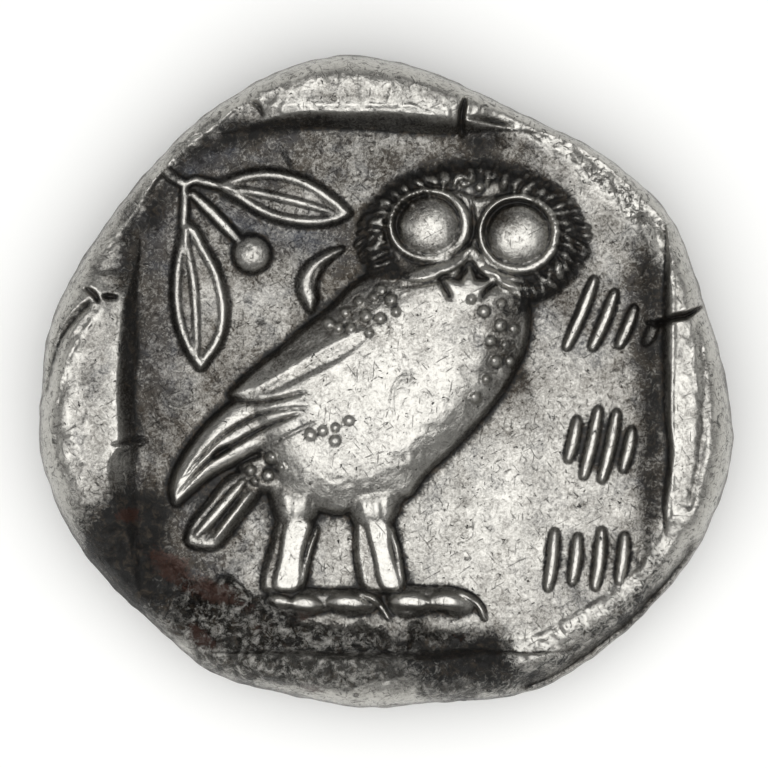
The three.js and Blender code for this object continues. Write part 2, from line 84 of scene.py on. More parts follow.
def length(name, millimetres, description):
    return bpy.props.FloatProperty(
        name=name, description=description, default=millimetres * MM, min=0, unit="LENGTH", precision=5)


def colour(name, code, description):
    return bpy.props.FloatVectorProperty(
        name=name, description=description, default=linear(code), size=4, min=0, max=1, subtype="COLOR")


class CoinSizes(bpy.types.PropertyGroup):
    """Heights and widths of the struck coin."""
    belly: length("Belly", 2.9, "Height of the widest line of the edge above the table")
    under_field: length("Head side field", 1.35, "Height of the head side's field above the table")
    field: length("Owl side field", 4.55, "Height of the sunk square's floor above the table")
    body_rise: length("Body", 1.15, "How far the owl's body stands above the field")
    wing_rise: length("Wing", 0.86, "How far the wing stands above the field")
    head_rise: length("Head", 0.66, "How far the owl's head stands above the field")
    eye_rise: length("Eye", 1.08, "How far the eyeballs stand above the field")
    leg_rise: length("Leg", 0.7, "How far the legs stand above the field")
    leaf_rise: length("Leaf", 0.3, "How far the leaves' rims stand above the field")
    stroke_rise: length("Stroke", 0.32, "How far the rows of strokes stand above the field")
    cheek_rise: length("Cheek", 1.8, "How far the head side's face stood above its field before wear")
    lattice: length("Lattice", 0.04, "Spacing of the lattice on which the relief is worked out")
    faces: bpy.props.IntProperty(
        name="Triangles", description="Triangles in the finished coin", default=190000, min=1000)


class CoinColours(bpy.types.PropertyGroup):
    """Silver and what lies on it."""
    rubbed: colour("Rubbed silver", "#b6b4ae", "Silver rubbed bright on the high spots")
    toned: colour("Toned silver", "#3c3935", "Silver dulled grey in the field")
    brown: colour("Brown toning", "#3a3228", "Old toning round the wing and the neck")
    blue: colour("Blue toning", "#33373f", "Thin steel-blue toning in the upper left of the field")
    # Its colour also serves the painted shade of the black mask.
    grime: colour("Grime", "#0f0e0c", "Dark matter packed round the relief")
    rust: colour("Red corrosion", "#34190c", "Patches of red-brown corrosion")
    floor: colour("Floor", "#f4f4f2", "The studio floor")


# ---- Curves and the flan ----
def around(knots, degrees):
    """The value at each angle on a smooth closed curve through (degrees, value) knots."""
    at = np.array([k[0] for k in knots], float)
    value = np.array([k[1] for k in knots], float)
    n = len(at)
    turned = np.mod(degrees, 360)
    i = (np.searchsorted(at, turned, side="right") - 1) % n
    turned = np.where(turned < at[i], turned + 360, turned)

    def knot(k):
        turn = k // n
        return at[k % n] + 360 * turn, value[k % n]

    (a0, v0), (a1, v1), (a2, v2), (a3, v3) = (knot(i + k) for k in (-1, 0, 1, 2))
    span = a2 - a1
    t = (turned - a1) / span
    slope1 = (v2 - v0) / (a2 - a0) * span
    slope2 = (v3 - v1) / (a3 - a1) * span
    return ((2 * t**3 - 3 * t**2 + 1) * v1 + (t**3 - 2 * t**2 + t) * slope1
            + (3 * t**2 - 2 * t**3) * v2 + (t**3 - t**2) * slope2)


def smooth_path(points, closed=False, steps=6):
    """A centripetal Catmull-Rom curve through the points, as an array of places."""
    p = np.array(points, float)
    if len(p) == 2 and not closed:
        return p
    ends = (p[-1:], p[:2]) if closed else (2 * p[:1] - p[1:2], 2 * p[-1:] - p[-2:-1])
    p = np.vstack([ends[0], p, ends[1]])
    made = []
    for a, b, c, d in zip(p, p[1:], p[2:], p[3:]):
        t1 = max(np.linalg.norm(b - a), 1e-6) ** 0.5
        t2 = t1 + max(np.linalg.norm(c - b), 1e-6) ** 0.5
        t3 = t2 + max(np.linalg.norm(d - c), 1e-6) ** 0.5
        for k in range(steps):
            t = t1 + (t2 - t1) * k / steps
            ab = (t1 - t) / t1 * a + t / t1 * b
            bc = (t2 - t) / (t2 - t1) * b + (t - t1) / (t2 - t1) * c
            cd = (t3 - t) / (t3 - t2) * c + (t - t2) / (t3 - t2) * d
            abc = (t2 - t) / t2 * ab + t / t2 * bc
            bcd = (t3 - t) / (t3 - t1) * bc + (t - t1) / (t3 - t1) * cd
            made.append((t2 - t) / (t2 - t1) * abc + (t - t1) / (t2 - t1) * bcd)
    if not closed:
        made.append(p[-2])
    return np.array(made)


def step_up(low, high, value):
    """0 below low, 1 above high, and a smooth rise between."""
    t = np.clip((value - low) / (high - low), 0, 1)
    return t * t * (3 - 2 * t)


class Relief:
    """Heights in millimetres over a field, on a square lattice of places in millimetres."""

    def __init__(self, spacing, reach=13.2):
        self.spacing = spacing
        self.reach = reach
        line = np.arange(-reach, reach + spacing / 2, spacing)
        self.x, self.y = np.meshgrid(line, line, indexing="ij")
        self.z = np.zeros_like(self.x)

    def near(self, points, margin):
        """The part of the lattice that lies within margin of the points."""
        low = np.floor((points.min(axis=0) - margin + self.reach) / self.spacing).astype(int)
        high = np.ceil((points.max(axis=0) + margin + self.reach) / self.spacing).astype(int) + 1
        low = np.clip(low, 0, len(self.x))
        high = np.clip(high, 0, len(self.x))
        return slice(low[0], high[0]), slice(low[1], high[1])

    def to_path(self, part, path, closed=False):
        """Distance to a path, the share of its length at the nearest place, and the side, + on the left."""
        x, y = self.x[part], self.y[part]
        ends = np.roll(path, -1, axis=0) if closed else path[1:]
        starts = path if closed else path[:-1]
        lengths = np.linalg.norm(ends - starts, axis=1)
        total = max(lengths.sum(), 1e-9)
        best = np.full(x.shape, 1e9)
        share = np.zeros(x.shape)
        side = np.zeros(x.shape)
        gone = 0.0
        for (ax, ay), (bx, by), size in zip(starts, ends, lengths):
            if size < 1e-9:
                continue
            ux, uy = (bx - ax) / size, (by - ay) / size
            along = np.clip((x - ax) * ux + (y - ay) * uy, 0, size)
            dx, dy = x - ax - along * ux, y - ay - along * uy
            away = dx * dx + dy * dy
            closer = away < best
            best = np.where(closer, away, best)
            share = np.where(closer, (gone + along) / total, share)
            side = np.where(closer, ux * dy - uy * dx, side)
            gone += size
        return np.sqrt(best), share, side

    def inside(self, part, outline):
        """Signed distance to a closed outline, positive inside."""
        away, _, _ = self.to_path(part, outline, closed=True)
        x, y = self.x[part], self.y[part]
        odd = np.zeros(x.shape, bool)
        for (ax, ay), (bx, by) in zip(outline, np.roll(outline, -1, axis=0)):
            if ay == by:
                continue
            crosses = (ay > y) != (by > y)
            odd ^= crosses & (x < (bx - ax) * (y - ay) / (by - ay) + ax)
        return np.where(odd, away, -away)

    def plate(self, points, rise, shoulder, foot=0.1, soften=0.0, wall=0.0):
        """Raises a closed outline to rise: a steep wall up to a share of it, then a rounded shoulder."""
        outline = smooth_path(points, closed=True)
        part = self.near(outline, foot + 3 * soften + 0.1)
        deep = self.inside(part, outline) + foot
        if soften:
            deep += (self.blur(np.clip(deep, -soften, None), soften) - deep) * step_up(0, 2 * soften, deep)
        round_up = np.sin(np.clip(deep / (shoulder + foot), 0, 1) * math.pi / 2)
        steep = np.sin(np.clip(deep / (0.18 + foot), 0, 1) * math.pi / 2)
        raised = rise * (wall * steep + (1 - wall) * round_up)
        self.z[part] = np.maximum(self.z[part], np.where(deep > 0, raised, 0))

    def stroke(self, points, width, rise, taper=0.5, end=None, add=True, flat=0.45):
        """Raises a line. Its start and end shrink to taper and end, and flat is how much of its width is level."""
        path = smooth_path(points)
        part = self.near(path, width)
        away, share, _ = self.to_path(part, path)
        end = taper if end is None else end
        swell = 1 - (1 - taper) * np.clip(1 - share / 0.4, 0, 1) ** 2 - (1 - end) * np.clip(share / 0.4 - 1.5, 0, 1) ** 2
        swell = np.maximum(swell, 0.02)
        across = np.clip((2 * away / (width * swell) - flat) / (1 - flat), 0, 1)
        raised = rise * swell * (1 - across**2) ** 0.8
        self.z[part] = self.z[part] + raised if add else np.maximum(self.z[part], raised)

    def pellet(self, x, y, radius, rise):
        """Adds a small round boss with a narrow sunk ring about it."""
        part = self.near(np.array([[x, y]]), radius * 2)
        share = np.hypot(self.x[part] - x, self.y[part] - y) / radius
        boss = rise * np.sqrt(np.clip(1 - share**2.5, 0, None))
        moat = 0.3 * rise * np.exp(-(((share - 1.2) / 0.2) ** 2))
        self.z[part] += boss - moat

    def ring(self, outer, inner, rise, bevel=0.09):
        """Adds a flat-topped band between two ovals, each given as x, y, half width and half height."""
        x, y, rx, ry = outer
        part = self.near(np.array([[x - rx, y - ry], [x + rx, y + ry]]), 0.1)
        edges = []
        for (x, y, rx, ry), side in ((outer, 1), (inner, -1)):
            share = np.hypot((self.x[part] - x) / rx, (self.y[part] - y) / ry)
            edges.append(side * (1 - share) * (rx + ry) / 2)
        depth = np.clip(np.minimum(*edges) / bevel, 0, 1)
        self.z[part] += rise * np.sin(depth * math.pi / 2) - 0.5 * abs(rise) * np.exp(-(((edges[0] + 0.08) / 0.06) ** 2))

    def ball(self, x, y, radius, rise, foot=0.0):
        """Raises a round dome from a foot height."""
        part = self.near(np.array([[x, y]]), radius)
        share = np.hypot(self.x[part] - x, self.y[part] - y) / radius
        raised = np.where(share < 1, foot + (rise - foot) * np.sqrt(np.clip(1 - share**2, 0, None)), 0)
        self.z[part] = np.maximum(self.z[part], raised)

    def cut(self, points, width, depth, taper=0.3, sharp=1.0):
        """Cuts a groove along a line."""
        path = smooth_path(points)
        part = self.near(path, width)
        away, share, _ = self.to_path(part, path)
        swell = taper + (1 - taper) * np.sin(math.pi * np.clip(share, 0, 1)) ** 0.5
        across = np.clip(2 * away / (width * swell), 0, 1)
        self.z[part] -= depth * swell * (1 - across**sharp)

    def dent(self, x, y, radius, depth):
        """Presses a soft round dent."""
        part = self.near(np.array([[x, y]]), radius * 2)
        share = np.hypot(self.x[part] - x, self.y[part] - y) / radius
        self.z[part] -= depth * np.exp(-(share**2) * 2)

    def ledge(self, points, drop, run):
        """Lets the ground fall away on the right of a line, by drop within run."""
        path = smooth_path(points)
        part = self.near(path, run + 0.6)
        away, share, side = self.to_path(part, path)
        ends = step_up(0, 0.12, share) * step_up(1, 0.88, share)
        self.z[part] -= drop * step_up(0, run, np.where(side < 0, away, 0)) * ends

    def spot(self, x, y, rx, ry=None, lean=0.0):
        """1 in the middle of an oval, 0.5 on its edge and 0 well outside, leaning by degrees."""
        ry = ry or rx
        c, s = math.cos(math.radians(lean)), math.sin(math.radians(lean))
        dx, dy = self.x - x, self.y - y
        share = ((dx * c + dy * s) / rx) ** 2 + ((dy * c - dx * s) / ry) ** 2
        return np.exp2(-share)

    def blur(self, values, reach):
        """The values, blurred over reach millimetres."""
        wave = np.fft.fftfreq(values.shape[0])[:, None] ** 2 + np.fft.rfftfreq(values.shape[1])[None, :] ** 2
        fall = np.exp(-wave * 2 * (math.pi * reach / self.spacing) ** 2)
        return np.fft.irfft2(np.fft.rfft2(values) * fall, s=values.shape)

    def noise(self, size, seed):
        """Smooth noise with lumps about size millimetres wide, between about -2 and 2."""
        white = np.random.default_rng(seed).standard_normal(self.x.shape)
        soft = self.blur(white, size * 0.4)
        return soft / soft.std()

    def swirl(self, size, seed):
        """Noise drawn out into short curling strokes."""
        lumps = self.noise(size, seed)
        drift = size * 1.5
        return self.sample(lumps, self.x + drift * self.noise(size * 3, seed + 1), self.y + drift * self.noise(size * 3, seed + 2))

    def sample(self, values, x, y):
        """The values at any places, between the lattice's points."""
        i = np.clip((x + self.reach) / self.spacing, 0, len(self.x) - 1.001)
        j = np.clip((y + self.reach) / self.spacing, 0, len(self.x) - 1.001)
        i0, j0 = i.astype(int), j.astype(int)
        fi, fj = i - i0, j - j0
        near = values[i0, j0] * (1 - fj) + values[i0, j0 + 1] * fj
        far = values[i0 + 1, j0] * (1 - fj) + values[i0 + 1, j0 + 1] * fj
        return near * (1 - fi) + far * fi


# ---- The owl side ----
SQUARE = {"left": -8.95, "right": 10.0, "top": 8.98, "bottom": -9.72}
WALL_LEAN = {"left": 0.85, "right": 0.36, "top": 0.8, "bottom": 0.34}
# Each eye as [ring's outer oval, ring's inner oval, eyeball's x, y and radius], an oval as x, y and half sizes.
EYES = [
    ((1.53, 5.63, 1.5, 1.35), (1.44, 5.7, 1.22, 1.1), (1.56, 5.56, 1.13)),
    ((4.78, 5.33, 1.5, 1.45), (4.72, 5.4, 1.23, 1.18), (4.76, 5.26, 1.15)),
]


def square_floor(relief, x, y):
    """How far above the field the punch's walls stand at each place."""
    waver = relief.sample(relief.noise(1.8, 5), x, y) * 0.05
    slumped = 0.45 * step_up(-2.2, -3.0, y) * step_up(-5.2, -4.0, y)
    left = (SQUARE["left"] - x + waver) / (WALL_LEAN["left"] + slumped)
    outside = [
        np.minimum(left, 0.45 + 0.45 * left),
        (x - SQUARE["right"] + waver) / WALL_LEAN["right"],
        (y - SQUARE["top"] + waver) / WALL_LEAN["top"],
        (SQUARE["bottom"] - y + waver) / WALL_LEAN["bottom"],
    ]
    wall = np.clip(np.maximum.reduce(outside), 0, None)
    near_right = 0.26 * step_up(SQUARE["right"] - 1.2, SQUARE["right"], x)
    near_left = 0.1 * step_up(SQUARE["left"] + 0.9, SQUARE["left"], x)
    return wall + near_right + near_left


def owl_body(relief, sizes):
    breast = [(5.0, 3.3), (5.12, 2.2), (5.02, 1.4), (4.75, 0.65), (4.35, -0.1), (3.85, -0.8), (3.1, -1.7),
              (2.3, -2.5), (1.4, -3.35), (0.75, -4.15)]
    belly = [(-0.4, -4.35), (-1.6, -4.75), (-2.6, -4.6), (-3.6, -4.4), (-4.1, -3.5), (-4.7, -2.6)]
    back = [(-5.4, -1.2), (-5.5, -0.35), (-4.6, 0.55), (-3.8, 1.15), (-2.9, 1.95), (-2, 2.65), (-1.3, 3.35),
            (-0.6, 3.85), (1, 4.7), (3.8, 4.7)]
    relief.plate(breast + belly + back, sizes.body_rise / MM, 1.8, soften=0.4, wall=0.3)
    for x, y, radius, depth in [(0.72, 0.08, 0.3, 0.05), (-1.1, 0.25, 0.12, 0.06), (-2.5, -0.28, 0.1, 0.05)]:
        relief.dent(x, y, radius, depth)
    relief.cut([(0.75, 0.3), (0.3, -0.1), (0.2, -0.6), (0.22, -1.1)], 0.14, 0.09)
    relief.cut([(0.5, 0.2), (1.1, 0.15)], 0.2, 0.05)
    relief.cut([(3.2, 2.5), (3.3, 1.5), (2.9, 0.7)], 0.5, 0.05)
    fluff = relief.spot(-1.6, -3.7, 1.8, 0.7, 20) + relief.spot(3.0, 0.4, 0.8, 1.6, -20) + relief.spot(0.9, -2.6, 1.4, 0.5, 40)
    body = step_up(0.3, 0.6, relief.z)
    relief.z += body * (0.014 * relief.swirl(0.3, 61) * np.clip(fluff, 0, 1) + 0.006 * relief.swirl(0.4, 66))


def owl_wing(relief, sizes):
    """A long covert with a ridge along its lower edge, and below its tip the broad flight feathers."""
    covert = [(-1.0, 2.95), (-1.9, 2.35), (-3.2, 1.42), (-4.4, 0.5), (-5.65, -0.5), (-4.8, -0.68), (-3.6, -0.5),
              (-2.4, 0.0), (-1.2, 0.9), (-0.4, 1.9)]
    relief.plate(covert, sizes.wing_rise / MM, 0.85, wall=0.5)
    flight = [(-2.6, -0.3), (-4.2, -0.6), (-5.3, -0.66), (-5.97, -1.1), (-6.9, -2.07), (-7.55, -3.1), (-7.8, -3.97),
              (-7.62, -4.45), (-7.15, -4.1), (-6.3, -3.42), (-5.2, -2.85), (-4.1, -2.35), (-3.0, -1.9), (-2.0, -1.2)]
    relief.plate(flight, sizes.wing_rise * 0.9 / MM, 0.5, wall=0.6)
    relief.stroke([(-0.75, 1.85), (-1.4, 1.62), (-2.6, 1.02), (-3.75, 0.34), (-4.7, -0.22)], 0.3, 0.1, taper=0.4, flat=0.3)
    relief.cut([(-0.8, 1.55), (-1.6, 1.0), (-3, 0.28), (-4.2, -0.38)], 0.42, 0.1, sharp=2)
    grooves = [
        ([(-2.9, -0.35), (-3.8, -0.62), (-4.7, -0.76), (-5.45, -0.66)], 0.24, 0.2),
        ([(-2.7, -0.95), (-3.9, -1.02), (-4.8, -1.3), (-5.86, -1.92), (-6.8, -2.85), (-7.45, -3.75)], 0.2, 0.17),
        ([(-3.1, -1.15), (-4.4, -1.66), (-5.4, -2.22), (-6.3, -2.78), (-7.1, -3.55), (-7.55, -4.15)], 0.26, 0.24),
        ([(-5.6, -1.0), (-6.4, -1.75), (-7.1, -2.75), (-7.5, -3.5)], 0.12, 0.07),
        ([(-2.2, -1.35), (-3.1, -1.72), (-4.2, -2.3), (-5.2, -2.78)], 0.16, 0.12),
        ([(-4.3, -2.55), (-5.4, -3.0), (-6.3, -3.5), (-7.0, -3.95)], 0.14, 0.1),
    ]
    for path, width, depth in grooves:
        relief.cut(path, width, depth, taper=0.35, sharp=1.4)
    relief.cut([(-5.7, -2.4), (-5.97, -2.52), (-6.2, -2.7)], 0.4, 0.25, taper=0.7)


def owl_tail(relief):
    outline = [(-4.6, -3.1), (-4.55, -3.95), (-5.2, -4.85), (-5.85, -5.75), (-6.2, -6.02), (-7.2, -5.85), (-7.1, -5.2),
               (-6.5, -4.45), (-5.7, -3.5)]
    relief.plate(outline, 0.36, 0.2)
    relief.stroke([(-5.15, -3.6), (-6.0, -4.6), (-6.85, -5.55)], 0.36, 0.22, taper=0.6)
    relief.stroke([(-4.9, -4.0), (-5.5, -4.8), (-6.2, -5.7)], 0.26, 0.18, taper=0.5)
    relief.cut([(-5.0, -3.75), (-5.75, -4.7), (-6.55, -5.75)], 0.16, 0.2)
    relief.cut([(-5.55, -3.75), (-6.3, -4.6), (-7.0, -5.4)], 0.12, 0.12)


def rump(relief):
    relief.plate([(-3.5, -2.6), (-3.4, -3.7), (-4.3, -4.0), (-5.1, -3.6), (-5.3, -3), (-4.6, -2.6)], 0.5, 0.3)
    for x, y, radius in [(-4.17, -2.76, 0.2), (-4.25, -3.38, 0.22), (-4.9, -3.2, 0.18), (-4.75, -3.62, 0.14),
                         (-3.8, -3.1, 0.13)]:
        relief.pellet(x, y, radius, 0.2)


def small_feathers(relief):
    """Small round feathers on the neck, the breast and the wing's shoulder."""
    neck = [(0.15, 2.95), (-0.22, 2.27), (-0.62, 1.75), (-0.75, 2.35), (-1.3, 1.92), (-0.45, 3.05), (-2.1, 2.1),
            (-1.5, 2.5), (-1.0, 2.88), (-0.2, 3.3), (-1.75, 1.95), (0.35, 2.5)]
    breast = [(3.52, 2.52), (4.15, 2.78), (4.68, 2.6), (4.1, 2.02), (4.6, 1.9), (4.28, 1.32), (3.95, 0.72),
              (4.45, 0.72), (3.6, 0.08), (3.2, -0.6), (3.75, 1.45), (3.05, 2.95)]
    wing = [(-2.74, -1.93), (-2.3, -1.78), (-1.84, -1.66), (-1.85, -2.15), (-1.35, -1.42)]
    groups = [(neck, 0.21, 0.2), (breast, 0.21, 0.2), (wing, 0.21, 0.13)]
    for places, radius, rise in groups:
        for k, (x, y) in enumerate(places):
            relief.pellet(x, y, radius * (1 - 0.12 * (k % 3)), rise)


HEAD = (3.1, 5.25)


def owl_head(relief, sizes):
    rise = sizes.head_rise / MM
    hood = [(0.2, 3.6), (-0.4, 3.95), (-0.7, 4.6), (-0.65, 5.4), (-0.45, 6.1), (0, 6.75), (0.75, 7.2), (1.7, 7.5),
            (2.7, 7.62), (4, 7.55), (5, 7.25), (5.9, 6.8), (6.5, 6.2), (6.75, 5.4), (6.7, 4.5), (6.35, 3.6),
            (5.8, 3.1), (5.2, 2.95), (3, 2.9)]
    relief.plate(hood, rise * 0.62, 0.35)
    face = [(0.1, 4.7), (-0.08, 5.6), (0.25, 6.55), (1.2, 7.05), (2.4, 7.0), (3.3, 6.7), (4.6, 6.85), (5.8, 6.45),
            (6.33, 5.5), (6.1, 4.4), (5.2, 3.7), (3.6, 3.3), (1.6, 3.6), (0.5, 4.0)]
    relief.plate(face, rise, 0.28)


def face_disc(relief, sizes):
    """Eye rings, eyeballs, the bars under the eyes and the three-pointed beak."""
    top = sizes.head_rise / MM
    for outer, inner, (x, y, radius) in EYES:
        ix, iy, irx, iry = inner
        moat = relief.near(np.array([[ix - irx, iy - iry], [ix + irx, iy + iry]]), 0.1)
        share = np.hypot((relief.x[moat] - ix) / irx, (relief.y[moat] - iy) / iry)
        relief.z[moat] = np.minimum(relief.z[moat], top - 0.26 * step_up(1.0, 0.9, share))
        relief.ring(outer, inner, 0.2)
        relief.ball(x, y, radius, sizes.eye_rise / MM, foot=top - 0.16)
        relief.cut([(ix - 0.5 * irx, iy + 0.72 * iry), (ix, iy + 0.86 * iry), (ix + 0.5 * irx, iy + 0.72 * iry),
                    (ix + 0.78 * irx, iy + 0.35 * iry)], 0.09, 0.06)
        relief.cut([(ix - 0.92 * irx, iy - 0.3 * iry), (ix, iy - iry), (ix + 0.9 * irx, iy - 0.5 * iry)], 0.08, 0.05)
    relief.cut([(3.0, 6.6), (3.16, 6.0), (3.12, 5.3), (2.98, 4.85)], 0.24, 0.24, taper=0.5)
    bars = [
        ([(2.98, 4.78), (2.6, 4.4), (2.0, 4.1), (1.3, 3.86), (0.6, 3.72)], 0.5),
        ([(3.04, 4.78), (3.4, 4.3), (3.9, 3.85), (4.6, 3.55), (5.2, 3.45)], 0.56),
        ([(4.2, 3.5), (4.8, 3.25), (5.4, 3.2)], 0.5),
    ]
    for path, width in bars:
        relief.stroke(path, width, 0.2, taper=0.45, flat=0.65)
    relief.cut([(0.5, 3.42), (1.4, 3.52), (2.1, 3.75), (2.6, 4.1)], 0.14, 0.16)
    beak = [(3.0, 4.12), (3.17, 3.6), (3.78, 3.6), (3.42, 3.25), (3.2, 2.7), (2.75, 2.45), (2.45, 2.8), (2.35, 3.2),
            (2.08, 3.68), (2.72, 3.52)]
    for x, y in [(2.6, 3.84), (2.75, 4.05), (3.24, 4.02), (3.4, 3.82)]:
        relief.dent(x, y, 0.2, 0.24)
    part = relief.near(np.array(beak), 0.4)
    inward = relief.inside(part, np.array(beak))
    above = step_up(2.8, 3.2, relief.y[part])
    relief.z[part] -= 0.26 * np.clip(1 - np.abs(inward + 0.12) / 0.16, 0, 1) * above
    relief.z[part] = np.where(inward > 0, np.maximum(relief.z[part], top + 0.26 * step_up(-0.02, 0.1, inward)), relief.z[part])
    relief.cut([(3.45, 3.2), (3.9, 3.5), (4.3, 3.35), (4.6, 3.05), (4.9, 3.0)], 0.16, 0.16)


def head_feathers(relief):
    """Small leaf-shaped feathers in three rows round the face, longest at the cheeks, and a tuft over the brow."""
    draw = np.random.default_rng(71)
    for grow, count, reach in [(1.03, 27, 0.44), (1.13, 31, 0.5), (1.24, 34, 0.46)]:
        for k in range(count):
            turn = math.radians(-42 + 246 * (k + draw.uniform(-0.2, 0.2)) / (count - 1))
            c, s = math.cos(turn), math.sin(turn)
            x = HEAD[0] + 3.22 * grow * c
            y = HEAD[1] + 2.0 * grow * s - 0.15 * abs(c)
            lean = math.atan2(s - 0.55 * abs(c), c) + draw.uniform(-0.45, 0.45)
            size = reach * (1 + 0.35 * abs(c)) * draw.uniform(0.8, 1.3)
            dx, dy = size / 2 * math.cos(lean), size / 2 * math.sin(lean)
            bow = 0.05 * (1 if c > 0 else -1)
            relief.stroke([(x - dx, y - dy), (x - bow * dy, y + bow * dx), (x + dx, y + dy)],
                          draw.uniform(0.2, 0.32), 0.2, taper=0.4, end=0.12, flat=0.1)
    for k in range(8):
        x, y = 4.7 + 0.27 * k, 3.35 + 0.035 * k * k
        relief.stroke([(x, y), (x + 0.12, y - 0.3), (x + 0.1 + 0.02 * k, y - 0.62)], 0.17, 0.18, end=0.2, flat=0.1)
    for turn in range(25, 200, 32):
        c, s = math.cos(math.radians(turn)), math.sin(math.radians(turn))
        x, y = 3.35 + 0.55 * c, 7.15 + 0.5 * s
        relief.stroke([(x - 0.18 * c, y - 0.18 * s), (x + 0.18 * c, y + 0.18 * s)], 0.2, 0.2, end=0.2, flat=0.1)
    relief.pellet(3.35, 7.0, 0.17, 0.2)


def owl_legs(relief, sizes):
    """Thighs with soft folds, and under each a shin with a bright front, a lower flank and a thin spur behind."""
    rise = sizes.leg_rise / MM
    thighs = [
        [(-4.2, -3.6), (-4.1, -4.5), (-3.8, -5.2), (-3.35, -5.5), (-2.9, -5.25), (-2.4, -4.6), (-2.1, -3.8)],
        [(-1.45, -3.9), (-1.3, -4.8), (-0.95, -5.3), (-0.4, -5.5), (0.1, -5.2), (0.5, -4.4), (0.95, -3.5)],
    ]
    for outline in thighs:
        relief.plate(outline, rise, 0.8, soften=0.15, wall=0.3)
    folds = [(-3.75, -3.9, 0.1), (-3.3, -4.0, 0.05), (-2.85, -3.9, -0.1), (-0.95, -4.1, 0.15), (-0.45, -4.1, 0.1),
             (0.05, -4.0, 0.0)]
    for x, y, lean in folds:
        relief.stroke([(x, y), (x + lean, y - 0.5), (x + lean, y - 1.1)], 0.34, 0.05, taper=0.2, flat=0.2)
    shins = [
        ([(-3.75, -4.9), (-2.75, -5.0), (-2.95, -6.2), (-3.15, -7.4), (-4.35, -7.55), (-4.45, -7.2), (-4.15, -6.0)],
         [(-3.55, -4.9), (-2.75, -5.0), (-2.98, -6.2), (-3.15, -7.5), (-4.05, -7.5), (-3.9, -6.3)]),
        ([(-1.05, -4.9), (0.1, -5.0), (0.25, -6.0), (0.55, -7.4), (-0.75, -7.5), (-1.05, -6.6), (-1.1, -5.6)],
         [(-0.72, -4.9), (0.06, -5.0), (0.2, -6.0), (0.55, -7.5), (-0.15, -7.5), (-0.5, -6.3)]),
    ]
    for flank, front in shins:
        relief.plate(flank, rise * 0.5, 0.16)
        relief.plate(front, rise * 0.85, 0.16)
    for path in [[(-2.5, -5.3), (-2.8, -6.2), (-3.0, -7.4)], [(0.2, -5.3), (0.42, -6.2), (0.62, -7.3)]]:
        relief.stroke(path, 0.2, rise * 0.5, taper=0.6, flat=0.3)


def owl_feet(relief):
    soles = [
        [(0.1, -7.55), (0.6, -7.42), (1.5, -7.5), (2.3, -7.5), (2.95, -7.75), (3.1, -8.15), (2.6, -8.42), (2, -8.25),
         (1.4, -8.3), (0.8, -8.5), (0.2, -8.2)],
        [(-4.2, -7.6), (-3.2, -7.5), (-2.2, -7.6), (-1, -7.55), (-0.3, -7.7), (-0.4, -8.15), (-1.3, -8.4),
         (-2.1, -8.2), (-3.0, -8.45), (-4.1, -8.2)],
    ]
    for outline in soles:
        relief.plate(outline, 0.3, 0.2)
    toes = [(0.85, -7.95, 0.62, 0.66), (2.15, -7.95, 0.62, 0.66), (-2.95, -8.02, 0.5, 0.6), (-1.4, -7.98, 0.62, 0.6),
            (-3.85, -7.95, 0.4, 0.45)]
    for x, y, half, width in toes:
        relief.stroke([(x - half, y + 0.02), (x, y + 0.04), (x + half, y - 0.06)], width, 0.32, taper=0.5, flat=0.3)
    for path in [[(2.65, -7.62), (3.1, -7.85), (3.4, -8.2), (3.55, -8.6)], [(-0.95, -7.65), (-0.4, -7.9), (0.1, -8.6)]]:
        relief.stroke(path, 0.24, 0.26, taper=0.6)
    relief.cut([(-3.1, -7.42), (-2.0, -7.46), (-0.7, -7.5)], 0.12, 0.1)


def olive_spray(relief, sizes):
    rise = sizes.leaf_rise / MM
    leaves = [
        ([(-6.15, 7.05), (-5.5, 7.42), (-4.8, 7.62), (-4, 7.63), (-3, 7.38), (-2.2, 6.93), (-1.6, 6.45), (-1.28, 6.05),
          (-1.7, 5.75), (-2.4, 5.6), (-3, 5.6), (-3.9, 5.75), (-4.6, 6.02), (-5.3, 6.45)],
         [(-6.1, 7.06), (-5, 6.87), (-4, 6.67), (-3, 6.42), (-1.9, 6.1)]),
        ([(-7.3, 5.75), (-7.48, 5.2), (-7.67, 4.4), (-7.76, 3.3), (-7.66, 2.2), (-7.4, 1.4), (-7.0, 0.7), (-6.72, 0.4),
          (-6.3, 0.85), (-5.92, 1.45), (-5.73, 2.2), (-5.76, 3), (-6.02, 4), (-6.5, 4.9), (-6.9, 5.6)],
         [(-7.25, 5.5), (-7.15, 4.6), (-7.0, 3.8), (-6.9, 2.8), (-6.87, 1.8), (-6.83, 0.95)]),
    ]
    for outline, rib in leaves:
        relief.plate(outline, rise * 0.7, 0.12)
        closed = smooth_path(outline, closed=True)
        part = relief.near(closed, 0.3)
        inward = relief.inside(part, closed)
        border = step_up(0.02, 0.12, inward) * step_up(0.4, 0.24, inward)
        relief.z[part] += rise * 0.4 * border
        relief.stroke(rib, 0.3, rise * 0.45, taper=0.6, flat=0.4)
    stems = [
        ([(-7.98, 7.58), (-7.6, 7.3), (-7.2, 7.05)], 0.4), ([(-7.3, 7.1), (-6.9, 7.25), (-6.4, 7.15), (-5.9, 7.02)], 0.34),
        ([(-7.3, 7.1), (-7.28, 6.3), (-7.35, 5.5)], 0.34), ([(-7.0, 6.75), (-6.2, 6.0), (-5.3, 5.05)], 0.42),
    ]
    for path, width in stems:
        relief.stroke(path, width, rise, taper=0.8, add=False)
    relief.ball(-4.85, 4.6, 0.72, 0.5)
    for x, y, radius in [(-4.95, 4.85, 0.1), (-4.6, 4.4, 0.08)]:
        relief.dent(x, y, radius, 0.05)


